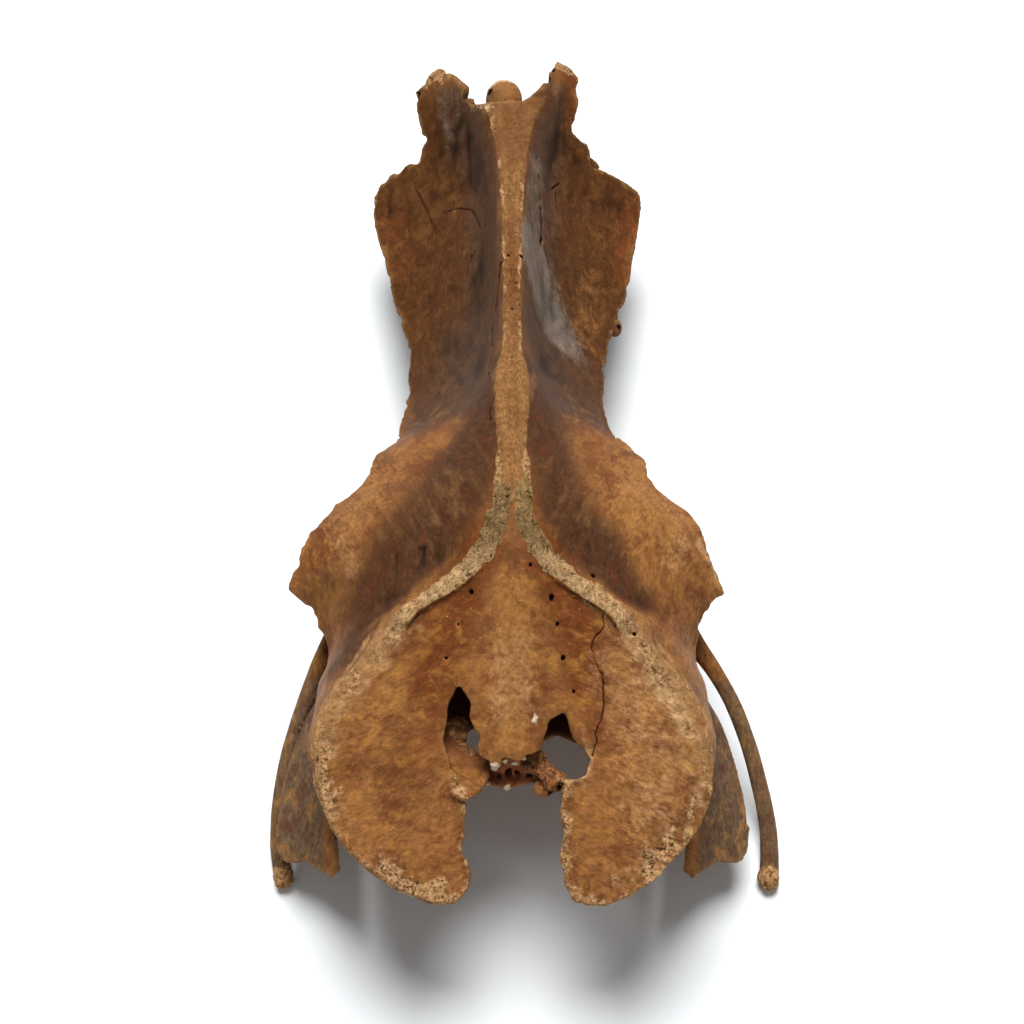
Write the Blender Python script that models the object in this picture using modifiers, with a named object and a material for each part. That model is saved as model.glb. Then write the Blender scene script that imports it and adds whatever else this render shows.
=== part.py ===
"""Pelvis of a moa, a large flightless bird: one fused bone, its back up, on its three low points.

The tables are in millimetres, in the bone's own frame: x to the bird's right, y to its head,
z up from the surface it rests on, with x = 0 on the midline. SETTLE turns them to metres
and puts the origin under the middle of the bone's outer box.
"""
import math

import bmesh
import bpy
import numpy as np
from mathutils import Matrix, Vector

MM = 0.001
MIDLINE_X = -7.2
MIDDLE_Y = 25.8
SETTLE = Matrix.Translation((MIDLINE_X * MM, -MIDDLE_Y * MM, 0)) @ Matrix.Scale(MM, 4)

ROOF_THICKNESS = 5.5
PLATE_THICKNESS = 6.0
BLADE_THICKNESS = 5.0

# How finely the shapes are drawn before they are fused, and the fused skin itself.
CELL = 3.5
PLATE_CELL = 2.4
ROOF_CELLS = 44
BLADE_CELLS = 12
ROD_SIDES = 16
ROD_CELLS = 24
RING_SIDES = 20
RING_STEPS = 48
SECTION_READS = 41
SEAM_GAP = 0.0001
VOXEL = 1.7
SMOOTH_ROUNDS = 3
TRIANGLES = 9400

# Roof of the two ilia, one half, from the front tips to the back of the side walls:
# y, then x and z of the crest's inner edge, its outer edge, the hollow beside it,
# the swelling outside that, and the free edge or rim.
ROOF = (
    (293, (0, 112), (28, 113), (38, 109), (49, 103), (66, 96)),
    (275, (0, 118), (24, 117), (34, 108), (47, 98), (66, 88)),
    (257, (0, 123), (18, 120), (28, 104), (43, 90), (66, 76)),
    (245, (0, 127), (14, 124), (26, 101), (47, 82), (72, 68)),
    (222, (0, 134), (10, 130.5), (24, 99), (54, 73), (92, 53)),
    (190, (0, 144), (7, 141), (21, 104), (50, 76), (90, 54)),
    (143, (0, 158), (5.5, 155), (18, 114), (42, 83), (76, 58)),
    (95, (0, 172), (4.6, 169), (17, 131), (37, 99), (64, 70)),
    (60, (0, 182), (5, 179), (19, 146), (40, 115), (64, 86)),
    (40, (0, 188), (8.7, 185), (24, 155), (45, 127), (68, 98)),
    (21, (0, 194), (9.2, 190.5), (30, 163), (56, 139), (82, 113)),
    (-7, (0, 200), (7.7, 197), (35, 174), (64, 150), (96, 119)),
    (-33, (0, 203), (9.5, 200), (40, 181), (78, 154), (114, 121)),
    (-47, (1, 200), (11, 198), (44, 179), (84, 151), (119, 118)),
    (-60, (5, 194), (16, 192), (50, 172), (88, 146), (124, 113)),
    (-68, (9, 191), (22, 188), (54, 169), (88, 144), (114, 114)),
    (-78, (17, 187), (34, 184), (60, 165), (88, 140), (107, 109)),
    (-88, (31, 182), (47, 179), (68, 159), (88, 136), (102, 102)),
    (-98, (49, 178), (62, 175), (77, 156), (91, 133), (102, 98)),
    (-111, (62, 168.5), (72, 165.5), (85, 152), (97, 131), (106, 101)),
    (-127, (76, 160.5), (85, 158), (94, 147), (101, 131), (107, 109)),
    (-141, (87, 154), (96, 151.5), (101, 145), (105, 134), (108, 119)),
    (-152, (94, 148.5), (102, 146.5), (105, 143), (107, 136), (109, 127)),
    (-168, (97, 139), (104, 138), (106, 136), (107, 134), (108, 131)),
)

# Broken free edges of the two wings, seen from above, head end first.
LEFT_WING = (
    (-6, 258), (-17, 258), (-21, 264), (-29, 277), (-37, 288), (-44, 294), (-53, 290),
    (-60, 285), (-58, 271), (-54, 256), (-57, 243), (-63, 245), (-71, 242), (-80, 241),
    (-85, 231), (-86, 217), (-82, 197), (-77, 178), (-72, 155), (-67, 137), (-61, 115),
    (-61, 98), (-61, 81), (-64, 62), (-65, 46), (-66, 30), (-72, 25), (-79, 24), (-80, 11),
    (-83, 0), (-92, -7), (-106, -12), (-113, -22), (-117, -35), (-121, -45), (-126, -58),
    (-121, -62), (-114, -69), (-109, -78), (-120, -90), (-120, -180), (0, -180), (0, 258),
)
RIGHT_WING = (
    (6, 258), (11, 263), (17, 271), (23, 284), (28, 292), (37, 289), (42, 283), (39, 267),
    (35, 255), (40, 253), (46, 252), (48, 246), (47, 239), (55, 239), (64, 237), (73, 234),
    (79, 230), (80, 222), (77, 200), (73, 178), (70, 158), (63, 137), (57, 117), (54, 96),
    (53, 72), (54, 50), (57, 30), (62, 18), (70, 17), (75, 14), (76, 3), (80, -8), (90, -14),
    (99, -18), (105, -28), (109, -42), (113, -54), (119, -62), (112, -66), (106, -74),
    (103, -80), (120, -90), (120, -180), (0, -180), (0, 258),
)

# Flat back plate: it falls backwards from the apex, with a low keel on the midline.
APEX_Y = -45
APEX_Z = 197
PLATE_FALL = 0.437
KEEL_RISE = 5.0
KEEL_SPREAD = 21.0
SIDE_DROOP = 4.0
PLATE_REACH = 114
PLATE_BACK = -246
PLATE_FRONT = -38

PLATE_OUTLINE = (
    (0, -40), (-9, -56), (-19, -70), (-38, -84), (-58, -96), (-71, -110), (-84, -126),
    (-96, -141), (-103, -152), (-107, -165), (-106, -180), (-102, -192), (-96, -204),
    (-85, -217), (-72, -227), (-56, -235), (-40, -241), (-30, -241), (-24, -234),
    (-22, -226), (-26, -216), (-25, -192), (-30, -184), (-32, -172), (-37, -160),
    (-34, -145), (-32, -139), (-29, -132), (-26, -136), (-22, -142), (-23, -149), (-20, -155),
    (-17, -159), (-19, -164), (-17, -169), (-12, -171), (-3, -170), (3, -172), (9, -169),
    (15, -166), (17, -159), (21, -150), (28, -146), (30, -150), (32, -159), (37, -164),
    (42, -169), (39, -178), (28, -180), (27, -188), (26, -198), (28, -206), (25, -218),
    (28, -230), (33, -240), (49, -242), (63, -237), (79, -227), (92, -215), (102, -201),
    (108, -186), (109, -170), (104, -155), (97, -141), (84, -125), (71, -110), (58, -96),
    (38, -84), (20, -70), (9, -56),
)

# Crumbled rim that stands a little over the plate, from the apex round to the lobe's end.
RIM_RADIUS = 4.0
RIM_SINK = 2.5
RIM_CELLS = 90
RIM_LINE = (
    (3, -42), (9, -56), (18, -69), (36, -83), (56, -96), (70, -110), (83, -126), (94, -141),
    (101, -153), (104, -166), (103, -180), (99, -191), (93, -203), (82, -215), (69, -225),
    (53, -233), (38, -238),
)

# Bodies of the fused vertebrae: y, half width, lowest and highest z.
CENTRA = (
    (276, 18, 3, 36), (263, 20, -2, 38), (247, 15, 5, 38), (233, 19, 5, 43), (215, 15, 13, 47),
    (199, 19, 15, 53), (180, 16, 23, 58), (163, 20, 26, 63), (120, 21, 39, 75), (80, 25, 51, 87),
    (40, 28, 62, 98), (0, 28, 72, 108), (-40, 24, 83, 115), (-80, 18, 94, 120),
    (-120, 13, 104, 127), (-150, 11, 107, 127), (-172, 13, 107, 124),
)
CENTRA_CELLS = 130

# Arch over the nerve canal, from its foot to its top, and the wall of tall spines above it.
CANAL_HEIGHT = 18
ARCH_THICKNESS = 5.0
ARCH_FOOT_X = 10.0
ARCH_TOP_X = 1.5
ARCH_SINK = 5
SPINES_THICKNESS = 6.0
SPINES_SINK = 3
ROOF_GAP = 2
ARCH_CELLS = (8, 100)
SPINES_CELLS = (24, 100)

# Struts from the vertebrae to the walls: y, x and z at the wall, then half thickness and depth.
RIBS = (
    (249, 50, 78, 3.5, 7), (222, 66, 62, 3.5, 8), (188, 64, 62, 3.5, 8), (156, 58, 66, 3.5, 8),
    (124, 52, 76, 4, 8), (94, 50, 84, 4, 8), (66, 54, 90, 5, 9), (38, 57, 96, 6, 10),
    (12, 62, 90, 7, 11), (-20, 74, 116, 7, 9), (-50, 84, 92, 6, 11), (-76, 80, 132, 4, 7),
    (-100, 62, 162, 3.5, 6),
)
RIB_LEAN = 6
RIB_ROOT_X = 8
RIB_ROOT_SINK = 6
RIB_SAG = 3
RIB_WAIST = 0.8

# Hip sockets: middle, turn of the ring in degrees, its radius and the half sizes of its band.
SOCKET = (78, -18, 83)
SOCKET_TOE = 25
SOCKET_RADIUS = 28
SOCKET_BAND = (10, 7)

# Wall between the roof's rim and the socket's upper half: x and y on the roof, front first,
# and the angle round the socket that each point is joined to, 0 at the front and 90 on top.
HOOD_RIM = (
    (58, 34, -30), (65, 23, -5), (71, 10, 25), (76, -4, 50), (88, -12, 75), (99, -21, 95),
    (106, -36, 115), (110, -50, 135), (114, -60, 150), (106, -69, 170), (101, -80, 185),
)
HOOD_THICKNESS = 8
HOOD_CELLS = (14, 40)

# Ischium: a thin blade, by y, upper edge x and z, lower edge x and z.
ISCHIUM = (
    (-36, (92, 98), (84, 58)), (-60, (98, 98), (96, 60)), (-80, (100, 96), (102, 60)),
    (-98, (101, 89), (108, 56)), (-117, (102, 81), (119, 50)), (-138, (103, 73), (127, 43)),
    (-156, (103, 67), (132, 37)), (-176, (101, 62), (134, 32)), (-212, (97, 58), (130, 27)),
)
ISCHIUM_END = ((80, -20), (80, -203), (95, -203), (100, -209), (106, -205), (111, -201),
               (117, -196), (123, -196), (130, -193), (134, -186), (140, -150), (150, -20))

# Pubis: a slender bent rod, by x, y, z and radius, and its lower end on each side.
PUBIS_ROOT = ((75, 4, 62, 6), (80, -10, 54, 8), (89, -32, 54, 8), (99, -56, 60, 6.5))
PUBIS_LEFT = (
    (108, -77, 62, 5.6), (116, -95, 56, 5), (124, -114, 46, 4.7), (131, -135, 33, 4.7),
    (135, -154, 22, 4.7), (136, -174, 11, 5), (134, -190, 4.6, 5.6), (132, -198, 3.4, 5.4),
)
PUBIS_RIGHT = (
    (107, -73, 63, 5.6), (117, -86, 57, 5), (128, -103, 48, 4.7), (137, -123, 37, 4.7),
    (144, -145, 25, 4.7), (149, -166, 13, 5), (150, -188, 4.8, 5.6), (149, -200, 3.4, 5.4),
)
PUBIS_CELLS = 70

# Rounded lumps: middle and radii, for the right side; those on the midline come after.
SIDE_LUMPS = (
    ((106, -52, 107), (12, 12, 12)), ((67, 17, 110), (8, 10, 12)), ((94, -50, 84), (8, 12, 16)),
    ((68, 14, 82), (7, 10, 22)), ((11, 263, 51), (7, 12, 8)),
)
MIDLINE_LUMPS = (((-2, 267, 108), (12, 14, 11)), ((17, -181, 127), (6, 5, 4)))

# Broken end of the last vertebrae. Thin shelves below the plate: thickness, height at the
# first corner with its rise across and along, and the outline seen from above. Then the rod
# of the broken side process on the right.
TAIL_SHELVES = (
    (4.0, 126, -0.25, -0.3, (
        (-37, -134), (-18, -134), (-17, -144), (-24, -148), (-26, -156), (-20, -161),
        (-13, -164), (-12, -176), (-17, -186), (-25, -192), (-33, -190), (-35, -180),
        (-40, -165))),
    (4.0, 120, 0.45, 0, (
        (10, -126), (46, -126), (47, -158), (41, -156), (32, -148), (24, -142), (18, -146),
        (10, -148))),
    (3.0, 123, 0, -0.1, (
        (-17, -164), (13, -164), (13, -176), (6, -178), (-2, -179), (-10, -179), (-17, -176))),
)
TAIL_STRUT = ((9, -163, 134), (18, -173, 131), (25, -182, 133))
TAIL_STRUT_RADIUS = 6.0

# Flat places, as the low and high corner of what is cut away: under the three low points,
# and in front of the first vertebra.
REST_CUT = ((-200, -300, -50), (200, 300, 0))
FRONT_CUT = ((-20, 272, -10), (20, 330, 41))


def clear_scene():
    for item in list(bpy.data.objects):
        bpy.data.objects.remove(item, do_unlink=True)


def make_collection(name):
    collection = bpy.data.collections.new(name)
    bpy.context.scene.collection.children.link(collection)
    return collection


def smooth_track(keys, values):
    """Function that reads a smooth curve through the values at the keys."""
    keys = np.asarray(keys, float)
    values = np.asarray(values, float)
    if keys[0] > keys[-1]:
        keys, values = keys[::-1], values[::-1]
    slopes = np.gradient(values, keys, axis=0)

    def read(at):
        at = min(max(at, keys[0]), keys[-1])
        i = min(int(np.searchsorted(keys, at, side="right")) - 1, len(keys) - 2)
        span = keys[i + 1] - keys[i]
        t = (at - keys[i]) / span
        ease = t * t * (3 - 2 * t)
        leave = slopes[i] * t * (1 - t) ** 2 * span
        arrive = slopes[i + 1] * t * t * (1 - t) * span
        return values[i] + (values[i + 1] - values[i]) * ease + leave - arrive

    return read


def inside(outline, x, y):
    """True where the point lies within the closed outline."""
    hit = False
    x0, y0 = outline[-1]
    for x1, y1 in outline:
        if (y1 > y) != (y0 > y) and x < (x0 - x1) * (y - y1) / (y0 - y1) + x1:
            hit = not hit
        x0, y0 = x1, y1
    return hit


def nearest_on(outline, x, y):
    """Point of the closed outline that is nearest to x, y."""
    start = np.asarray(outline, float)
    step = np.roll(start, -1, axis=0) - start
    away = np.array((x, y)) - start
    share = np.clip((away * step).sum(1) / np.maximum((step * step).sum(1), 1e-9), 0, 1)
    spots = start + step * share[:, None]
    gaps = np.hypot(spots[:, 0] - x, spots[:, 1] - y)
    return spots[gaps.argmin()], gaps.min()


def add_solid(bone, part, thickness=None):
    """Add a closed shape to the bone, after giving an open sheet its thickness."""
    mesh = bpy.data.meshes.new("shape")
    part.to_mesh(mesh)
    part.free()
    if thickness:
        item = bpy.data.objects.new("shape", mesh)
        bpy.context.scene.collection.objects.link(item)
        wall = item.modifiers.new("wall", "SOLIDIFY")
        wall.thickness = thickness
        wall.offset = 0
        graph = bpy.context.evaluated_depsgraph_get()
        solid = bpy.data.meshes.new_from_object(item.evaluated_get(graph))
        bpy.data.objects.remove(item)
        bpy.data.meshes.remove(mesh)
        mesh = solid
    bone.from_mesh(mesh)
    bpy.data.meshes.remove(mesh)


def add_sheet(bone, size, surface, thickness, outline=None, height=None):
    """Sheet of cells moved onto surface(u, v), trimmed to an outline seen from above."""
    part = bmesh.new()
    bmesh.ops.create_grid(part, x_segments=size[0], y_segments=size[1], size=1)
    for vert in part.verts:
        vert.co = surface((vert.co.x + 1) / 2, (vert.co.y + 1) / 2)
    if outline:
        centres = [(face, face.calc_center_median()) for face in part.faces]
        outer = [face for face, c in centres if not inside(outline, c.x, c.y)]
        bmesh.ops.delete(part, geom=outer, context="FACES")
        for vert in part.verts:
            if vert.is_boundary:
                (x, y), gap = nearest_on(outline, vert.co.x, vert.co.y)
                if gap < CELL:
                    vert.co = (x, y, height(abs(x), y) if height else vert.co.z)
    add_solid(bone, part, thickness)


def add_rod(bone, line, widths, depths, cells=ROD_CELLS):
    """Rod with oval cross-sections through the points of a line, closed at both ends."""
    keys = np.arange(len(line))
    middle = smooth_track(keys, line)
    width = smooth_track(keys, widths)
    depth = smooth_track(keys, depths)
    near = 0.05
    part = bmesh.new()
    bmesh.ops.create_grid(part, x_segments=ROD_SIDES, y_segments=cells, size=1)
    for vert in part.verts:
        turn = (vert.co.x + 1) * math.pi
        place = (vert.co.y + 1) / 2 * keys[-1]
        facing = Vector(middle(place + near)) - Vector(middle(place - near))
        side = facing.cross(Vector((0, 0, 1))).normalized()
        up = side.cross(facing).normalized()
        across = side * math.cos(turn) * width(place)
        vert.co = Vector(middle(place)) + across + up * math.sin(turn) * depth(place)
    bmesh.ops.remove_doubles(part, verts=part.verts, dist=SEAM_GAP)
    rims = [edge for edge in part.edges if edge.is_boundary]
    bmesh.ops.holes_fill(part, edges=rims, sides=0)
    bmesh.ops.recalc_face_normals(part, faces=part.faces)
    add_solid(bone, part)


def add_lump(bone, middle, radii):
    part = bmesh.new()
    bmesh.ops.create_icosphere(part, subdivisions=3, radius=1)
    bmesh.ops.transform(part, matrix=Matrix.Diagonal((*radii, 1)), verts=part.verts)
    bmesh.ops.translate(part, vec=middle, verts=part.verts)
    add_solid(bone, part)


ROOF_LINES = smooth_track([row[0] for row in ROOF], [row[1:] for row in ROOF])


def roof_section(y):
    """Function that reads the roof's section at y, from the crest (0) to the free edge (1)."""
    points = ROOF_LINES(y)
    places = np.linspace(0, 1, len(points))
    return smooth_track(places, points)


def roof_height(x, y):
    section = roof_section(y)
    points = np.array([section(place) for place in np.linspace(0, 1, SECTION_READS)])
    return float(np.interp(x, points[:, 0], points[:, 1]))


def add_roof(bone):
    """The two sloping walls that meet in the crest, with their broken free edges."""
    first = ROOF[0][0]
    length = first - ROOF[-1][0]
    for side, outline in ((-1, LEFT_WING), (1, RIGHT_WING)):
        def surface(u, v):
            y = first - v * length
            x, z = roof_section(y)(u)
            return side * x, y, z
        size = (ROOF_CELLS, int(length / CELL))
        add_sheet(bone, size, surface, ROOF_THICKNESS, outline, roof_height)


def plate_height(x, y):
    keel = KEEL_RISE * math.exp(-(x / KEEL_SPREAD) ** 2)
    return APEX_Z + (y - APEX_Y) * PLATE_FALL + keel - SIDE_DROOP * (x / PLATE_REACH) ** 2


def add_plate(bone):
    """The flat back plate, with its slits, hole and notch, and the crumbled rim round it."""
    def surface(u, v):
        x = PLATE_REACH * (2 * u - 1)
        y = PLATE_BACK * (1 - v) + PLATE_FRONT * v
        return x, y, plate_height(x, y)
    cells = (int(2 * PLATE_REACH / PLATE_CELL), int((PLATE_FRONT - PLATE_BACK) / PLATE_CELL))
    add_sheet(bone, cells, surface, PLATE_THICKNESS, PLATE_OUTLINE, plate_height)
    for side in (-1, 1):
        line = [(side * x, y, plate_height(x, y) - RIM_SINK) for x, y in RIM_LINE]
        radii = [RIM_RADIUS] * len(line)
        add_rod(bone, line, radii, radii, cells=RIM_CELLS)


def add_vertebrae(bone):
    """Row of fused vertebral bodies, the arch over the nerve canal, and the tall spines' wall."""
    line = [(0, y, (low + high) / 2) for y, half, low, high in CENTRA]
    widths = [half for y, half, low, high in CENTRA]
    depths = [(high - low) / 2 for y, half, low, high in CENTRA]
    add_rod(bone, line, widths, depths, cells=CENTRA_CELLS)

    body_top = smooth_track([row[0] for row in CENTRA], [row[3] for row in CENTRA])
    crest = smooth_track([row[0] for row in ROOF], [row[1][1] for row in ROOF])
    first = CENTRA[1][0]
    length = first - CENTRA[-1][0]

    def ceiling(y):
        return (crest(y) if y > APEX_Y else plate_height(0, y)) - ROOF_GAP

    for side in (-1, 1):
        def arch(u, v):
            y = first - v * length
            low = body_top(y) - ARCH_SINK
            high = min(body_top(y) + CANAL_HEIGHT, ceiling(y))
            return side * (ARCH_FOOT_X * (1 - u) + ARCH_TOP_X * u), y, low + (high - low) * u
        add_sheet(bone, ARCH_CELLS, arch, ARCH_THICKNESS)

    def spines(u, v):
        y = first - v * length
        low = min(body_top(y) + CANAL_HEIGHT - SPINES_SINK, ceiling(y) - ROOF_GAP)
        return 0, y, low + (ceiling(y) - low) * u
    add_sheet(bone, SPINES_CELLS, spines, SPINES_THICKNESS)

    for y, wall_x, wall_z, half, depth in RIBS:
        sag_z = (body_top(y) + wall_z) / 2 - RIB_SAG
        for side in (-1, 1):
            start = (side * RIB_ROOT_X, y, body_top(y) - RIB_ROOT_SINK)
            bend = (side * (RIB_ROOT_X + wall_x) / 2, y - RIB_LEAN / 2, sag_z)
            end = (side * wall_x, y - RIB_LEAN, wall_z)
            add_rod(bone, (start, bend, end), [half] * 3, (depth, depth * RIB_WAIST, depth))


def add_sockets(bone):
    """Hip sockets: a thick ring open right through, the rim lumps and the root of the blades."""
    for side in (-1, 1):
        place = Matrix.Translation((side * SOCKET[0], SOCKET[1], SOCKET[2]))
        turn = Matrix.Rotation(math.radians(side * SOCKET_TOE), 4, "Z")
        turn = turn @ Matrix.Rotation(math.radians(90), 4, "Y")
        part = bmesh.new()
        bmesh.ops.create_circle(part, segments=RING_SIDES, radius=1, cap_ends=False)
        bmesh.ops.scale(part, vec=(*SOCKET_BAND, 1), verts=part.verts)
        bmesh.ops.rotate(part, verts=part.verts, cent=(0, 0, 0),
                         matrix=Matrix.Rotation(math.radians(90), 3, "X"))
        bmesh.ops.translate(part, verts=part.verts, vec=(SOCKET_RADIUS, 0, 0))
        bmesh.ops.spin(part, geom=part.verts[:] + part.edges[:], axis=(0, 0, 1), cent=(0, 0, 0),
                       angle=math.tau, steps=RING_STEPS, use_merge=True)
        bmesh.ops.transform(part, matrix=place @ turn, verts=part.verts)
        bmesh.ops.recalc_face_normals(part, faces=part.faces)
        add_solid(bone, part)

        rim = smooth_track(np.arange(len(HOOD_RIM)), HOOD_RIM)

        def hood(u, v):
            x, y, angle = rim(v * (len(HOOD_RIM) - 1))
            upper = Vector((side * x, y, roof_height(x, y) - ROOF_GAP))
            angle = math.radians(angle)
            around = Vector((-math.sin(angle), math.cos(angle), 0)) * SOCKET_RADIUS
            lower = place @ turn @ around
            return upper.lerp(lower, u)
        add_sheet(bone, HOOD_CELLS, hood, HOOD_THICKNESS)
        for (x, y, z), radii in SIDE_LUMPS:
            add_lump(bone, (side * x, y, z), radii)


def add_blades(bone):
    """The two pairs of limbs behind the sockets: thin blades above, slender rods outside."""
    upper = smooth_track([row[0] for row in ISCHIUM], [row[1] for row in ISCHIUM])
    lower = smooth_track([row[0] for row in ISCHIUM], [row[2] for row in ISCHIUM])
    first = ISCHIUM[0][0]
    length = first - ISCHIUM[-1][0]
    for side in (-1, 1):
        def surface(u, v):
            y = first - v * length
            edge = upper(y) * (1 - u) + lower(y) * u
            return side * edge[0], y, edge[1]
        outline = [(side * x, y) for x, y in ISCHIUM_END]
        add_sheet(bone, (BLADE_CELLS, int(length / CELL)), surface, BLADE_THICKNESS, outline)
        points = PUBIS_ROOT + (PUBIS_LEFT if side < 0 else PUBIS_RIGHT)
        line = [(side * x, y, z) for x, y, z, radius in points]
        radii = [radius for x, y, z, radius in points]
        add_rod(bone, line, radii, radii, cells=PUBIS_CELLS)


def add_tail(bone):
    """Broken end of the last vertebrae, hollow in the middle."""
    for thickness, height, across, along, outline in TAIL_SHELVES:
        corner_x, corner_y = outline[0]
        low = np.min(outline, axis=0)
        size = np.max(outline, axis=0) - low

        def surface(u, v):
            x, y = low + size * (u, v)
            return x, y, height + (x - corner_x) * across + (y - corner_y) * along
        cells = (int(size[0] / PLATE_CELL), int(size[1] / PLATE_CELL))
        add_sheet(bone, cells, surface, thickness, outline)
    radii = [TAIL_STRUT_RADIUS] * len(TAIL_STRUT)
    add_rod(bone, TAIL_STRUT, radii, radii)


def keep_largest_body(mesh):
    """Remove crumbs that broke off at the ragged edges."""
    part = bmesh.new()
    part.from_mesh(mesh)
    left = set(part.verts)
    bodies = []
    while left:
        stack = [left.pop()]
        body = []
        while stack:
            vert = stack.pop()
            body.append(vert)
            for edge in vert.link_edges:
                other = edge.other_vert(vert)
                if other in left:
                    left.remove(other)
                    stack.append(other)
        bodies.append(body)
    bodies.sort(key=len)
    for body in bodies[:-1]:
        bmesh.ops.delete(part, geom=body, context="VERTS")
    part.to_mesh(mesh)
    part.free()


def fused(bone, name, collection):
    """Turn the overlapping shapes into one closed skin with few faces, in metres."""
    mesh = bpy.data.meshes.new(name)
    bone.to_mesh(mesh)
    bone.free()
    mesh.transform(SETTLE)
    item = bpy.data.objects.new(name, mesh)
    collection.objects.link(item)
    skin = item.modifiers.new("skin", "REMESH")
    skin.mode = "VOXEL"
    skin.voxel_size = VOXEL * MM
    worn = item.modifiers.new("worn", "SMOOTH")
    worn.iterations = SMOOTH_ROUNDS
    graph = bpy.context.evaluated_depsgraph_get()
    skin_mesh = bpy.data.meshes.new_from_object(item.evaluated_get(graph))
    keep_largest_body(skin_mesh)
    item.modifiers.clear()
    item.data = skin_mesh
    skin_mesh.name = name
    few = item.modifiers.new("few", "DECIMATE")
    few.ratio = TRIANGLES / (2 * len(skin_mesh.polygons))
    few.use_collapse_triangulate = True
    return item


def trimmed(item, collection):
    """Cut the flat places: the surface it rests on, and the front vertebra's joint face."""
    for name, (low, high) in (("rest_cut", REST_CUT), ("front_cut", FRONT_CUT)):
        part = bmesh.new()
        bmesh.ops.create_cube(part, size=1)
        low, high = Vector(low), Vector(high)
        bmesh.ops.scale(part, vec=high - low, verts=part.verts)
        bmesh.ops.translate(part, vec=(low + high) / 2, verts=part.verts)
        bmesh.ops.transform(part, matrix=SETTLE, verts=part.verts)
        mesh = bpy.data.meshes.new(name)
        part.to_mesh(mesh)
        part.free()
        cutter = bpy.data.objects.new(name, mesh)
        cutter.display_type = "WIRE"
        cutter.hide_render = True
        collection.objects.link(cutter)
        cut = item.modifiers.new(name, "BOOLEAN")
        cut.operation = "DIFFERENCE"
        cut.object = cutter


def bone_material():
    material = bpy.data.materials.new("old_bone")
    material.use_nodes = True
    shader = material.node_tree.nodes["Principled BSDF"]
    shader.inputs["Base Color"].default_value = (0.22, 0.095, 0.032, 1)
    shader.inputs["Roughness"].default_value = 0.6
    shader.inputs["Metallic"].default_value = 0
    return material


def build():
    clear_scene()
    parts = make_collection("moa_pelvis")
    cutters = make_collection("cutters")
    bone = bmesh.new()
    add_roof(bone)
    add_plate(bone)
    add_vertebrae(bone)
    add_sockets(bone)
    add_blades(bone)
    add_tail(bone)
    for middle, radii in MIDLINE_LUMPS:
        add_lump(bone, middle, radii)
    pelvis = fused(bone, "pelvis", parts)
    trimmed(pelvis, cutters)
    pelvis.data.materials.append(bone_material())


build()
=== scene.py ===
import functools
import math

import bmesh
import bpy
import numpy as np
from mathutils import Matrix, Vector


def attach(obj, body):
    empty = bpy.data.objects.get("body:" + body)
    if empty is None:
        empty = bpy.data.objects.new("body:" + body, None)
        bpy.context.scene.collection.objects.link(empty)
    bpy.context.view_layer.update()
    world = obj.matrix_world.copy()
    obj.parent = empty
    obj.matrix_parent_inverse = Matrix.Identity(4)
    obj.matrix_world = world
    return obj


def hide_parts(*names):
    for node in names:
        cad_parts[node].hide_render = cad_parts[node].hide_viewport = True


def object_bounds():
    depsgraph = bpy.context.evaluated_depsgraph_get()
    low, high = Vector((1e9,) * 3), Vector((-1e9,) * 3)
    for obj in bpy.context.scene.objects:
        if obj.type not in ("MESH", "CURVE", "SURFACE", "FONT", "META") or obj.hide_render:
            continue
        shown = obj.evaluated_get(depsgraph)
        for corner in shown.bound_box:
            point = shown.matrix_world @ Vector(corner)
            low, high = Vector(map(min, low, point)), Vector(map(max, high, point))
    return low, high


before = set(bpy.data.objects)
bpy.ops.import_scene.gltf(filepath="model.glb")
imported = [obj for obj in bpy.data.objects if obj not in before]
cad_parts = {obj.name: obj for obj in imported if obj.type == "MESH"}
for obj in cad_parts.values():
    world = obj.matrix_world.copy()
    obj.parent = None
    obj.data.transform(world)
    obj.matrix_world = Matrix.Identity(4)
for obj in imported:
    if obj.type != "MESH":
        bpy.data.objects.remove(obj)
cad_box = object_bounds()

# The tables are in millimetres, in the bone's own frame: x to the bird's right, y to its head,
# z up from the surface it rests on, with x = 0 on the midline.
MM = 0.001
MIDDLE = (-7.2, -25.8, 0)
SETTLE = Matrix.Translation([MM * shift for shift in MIDDLE]) @ Matrix.Scale(MM, 4)

ROOF_THICKNESS = 5.5
PLATE_THICKNESS = 6.0
BLADE_THICKNESS = 4.6

# Cells of the sheets and rods, then the closed mesh made from them: the size of its voxels,
# rounds of smoothing, triangles before it is drawn finer round slits and holes and at most
# after that, how near to a slit each round of that reaches, and the shortest edge it halves.
CELL = 2.4
PLATE_CELL = 1.7
ROOF_CELLS = 72
BLADE_CELLS = 24
ROD_SIDES = 24
ROD_CELLS = 24
RING_SIDES = 28
RING_STEPS = 80
SECTION_READS = 61
VOXEL = 1.05
SMOOTH_ROUNDS = 4
TRIANGLES = 172000
MOST_TRIANGLES = 192000
FINE_REACHES = (4, 2.6, 1.8, 1.1)
FINE_EDGE = 0.5

# Seams narrower than the first are closed, the second keeps divisions from failing, and the
# third is out of reach of every slit and hole.
SEAM_GAP = 0.0001
TINY = 1e-9
FAR = 99

# Random swells: size of the humps, seed and height of each part.
SWELLS = {
    "bites": ((2.7, 11, 0.5), (8, 12, 1)), "borders": ((6, 5, 0.6), (2.6, 6, 0.5)),
    "arms": ((9, 15, 1.8), (3.6, 16, 1.8)), "patches": ((13, 7, 1), (5, 8, 0.5)),
    "crumbs": ((1.9, 41, 0.45), (3.4, 43, 0.5)), "walls": ((24, 61, 0.5), (9, 62, 0.22)),
    "shard": ((4.4, 44, 1.4), (2.3, 45, 0.8)), "slits": ((1.7, 71, 0.4), (4.5, 73, 0.5)),
}

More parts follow.
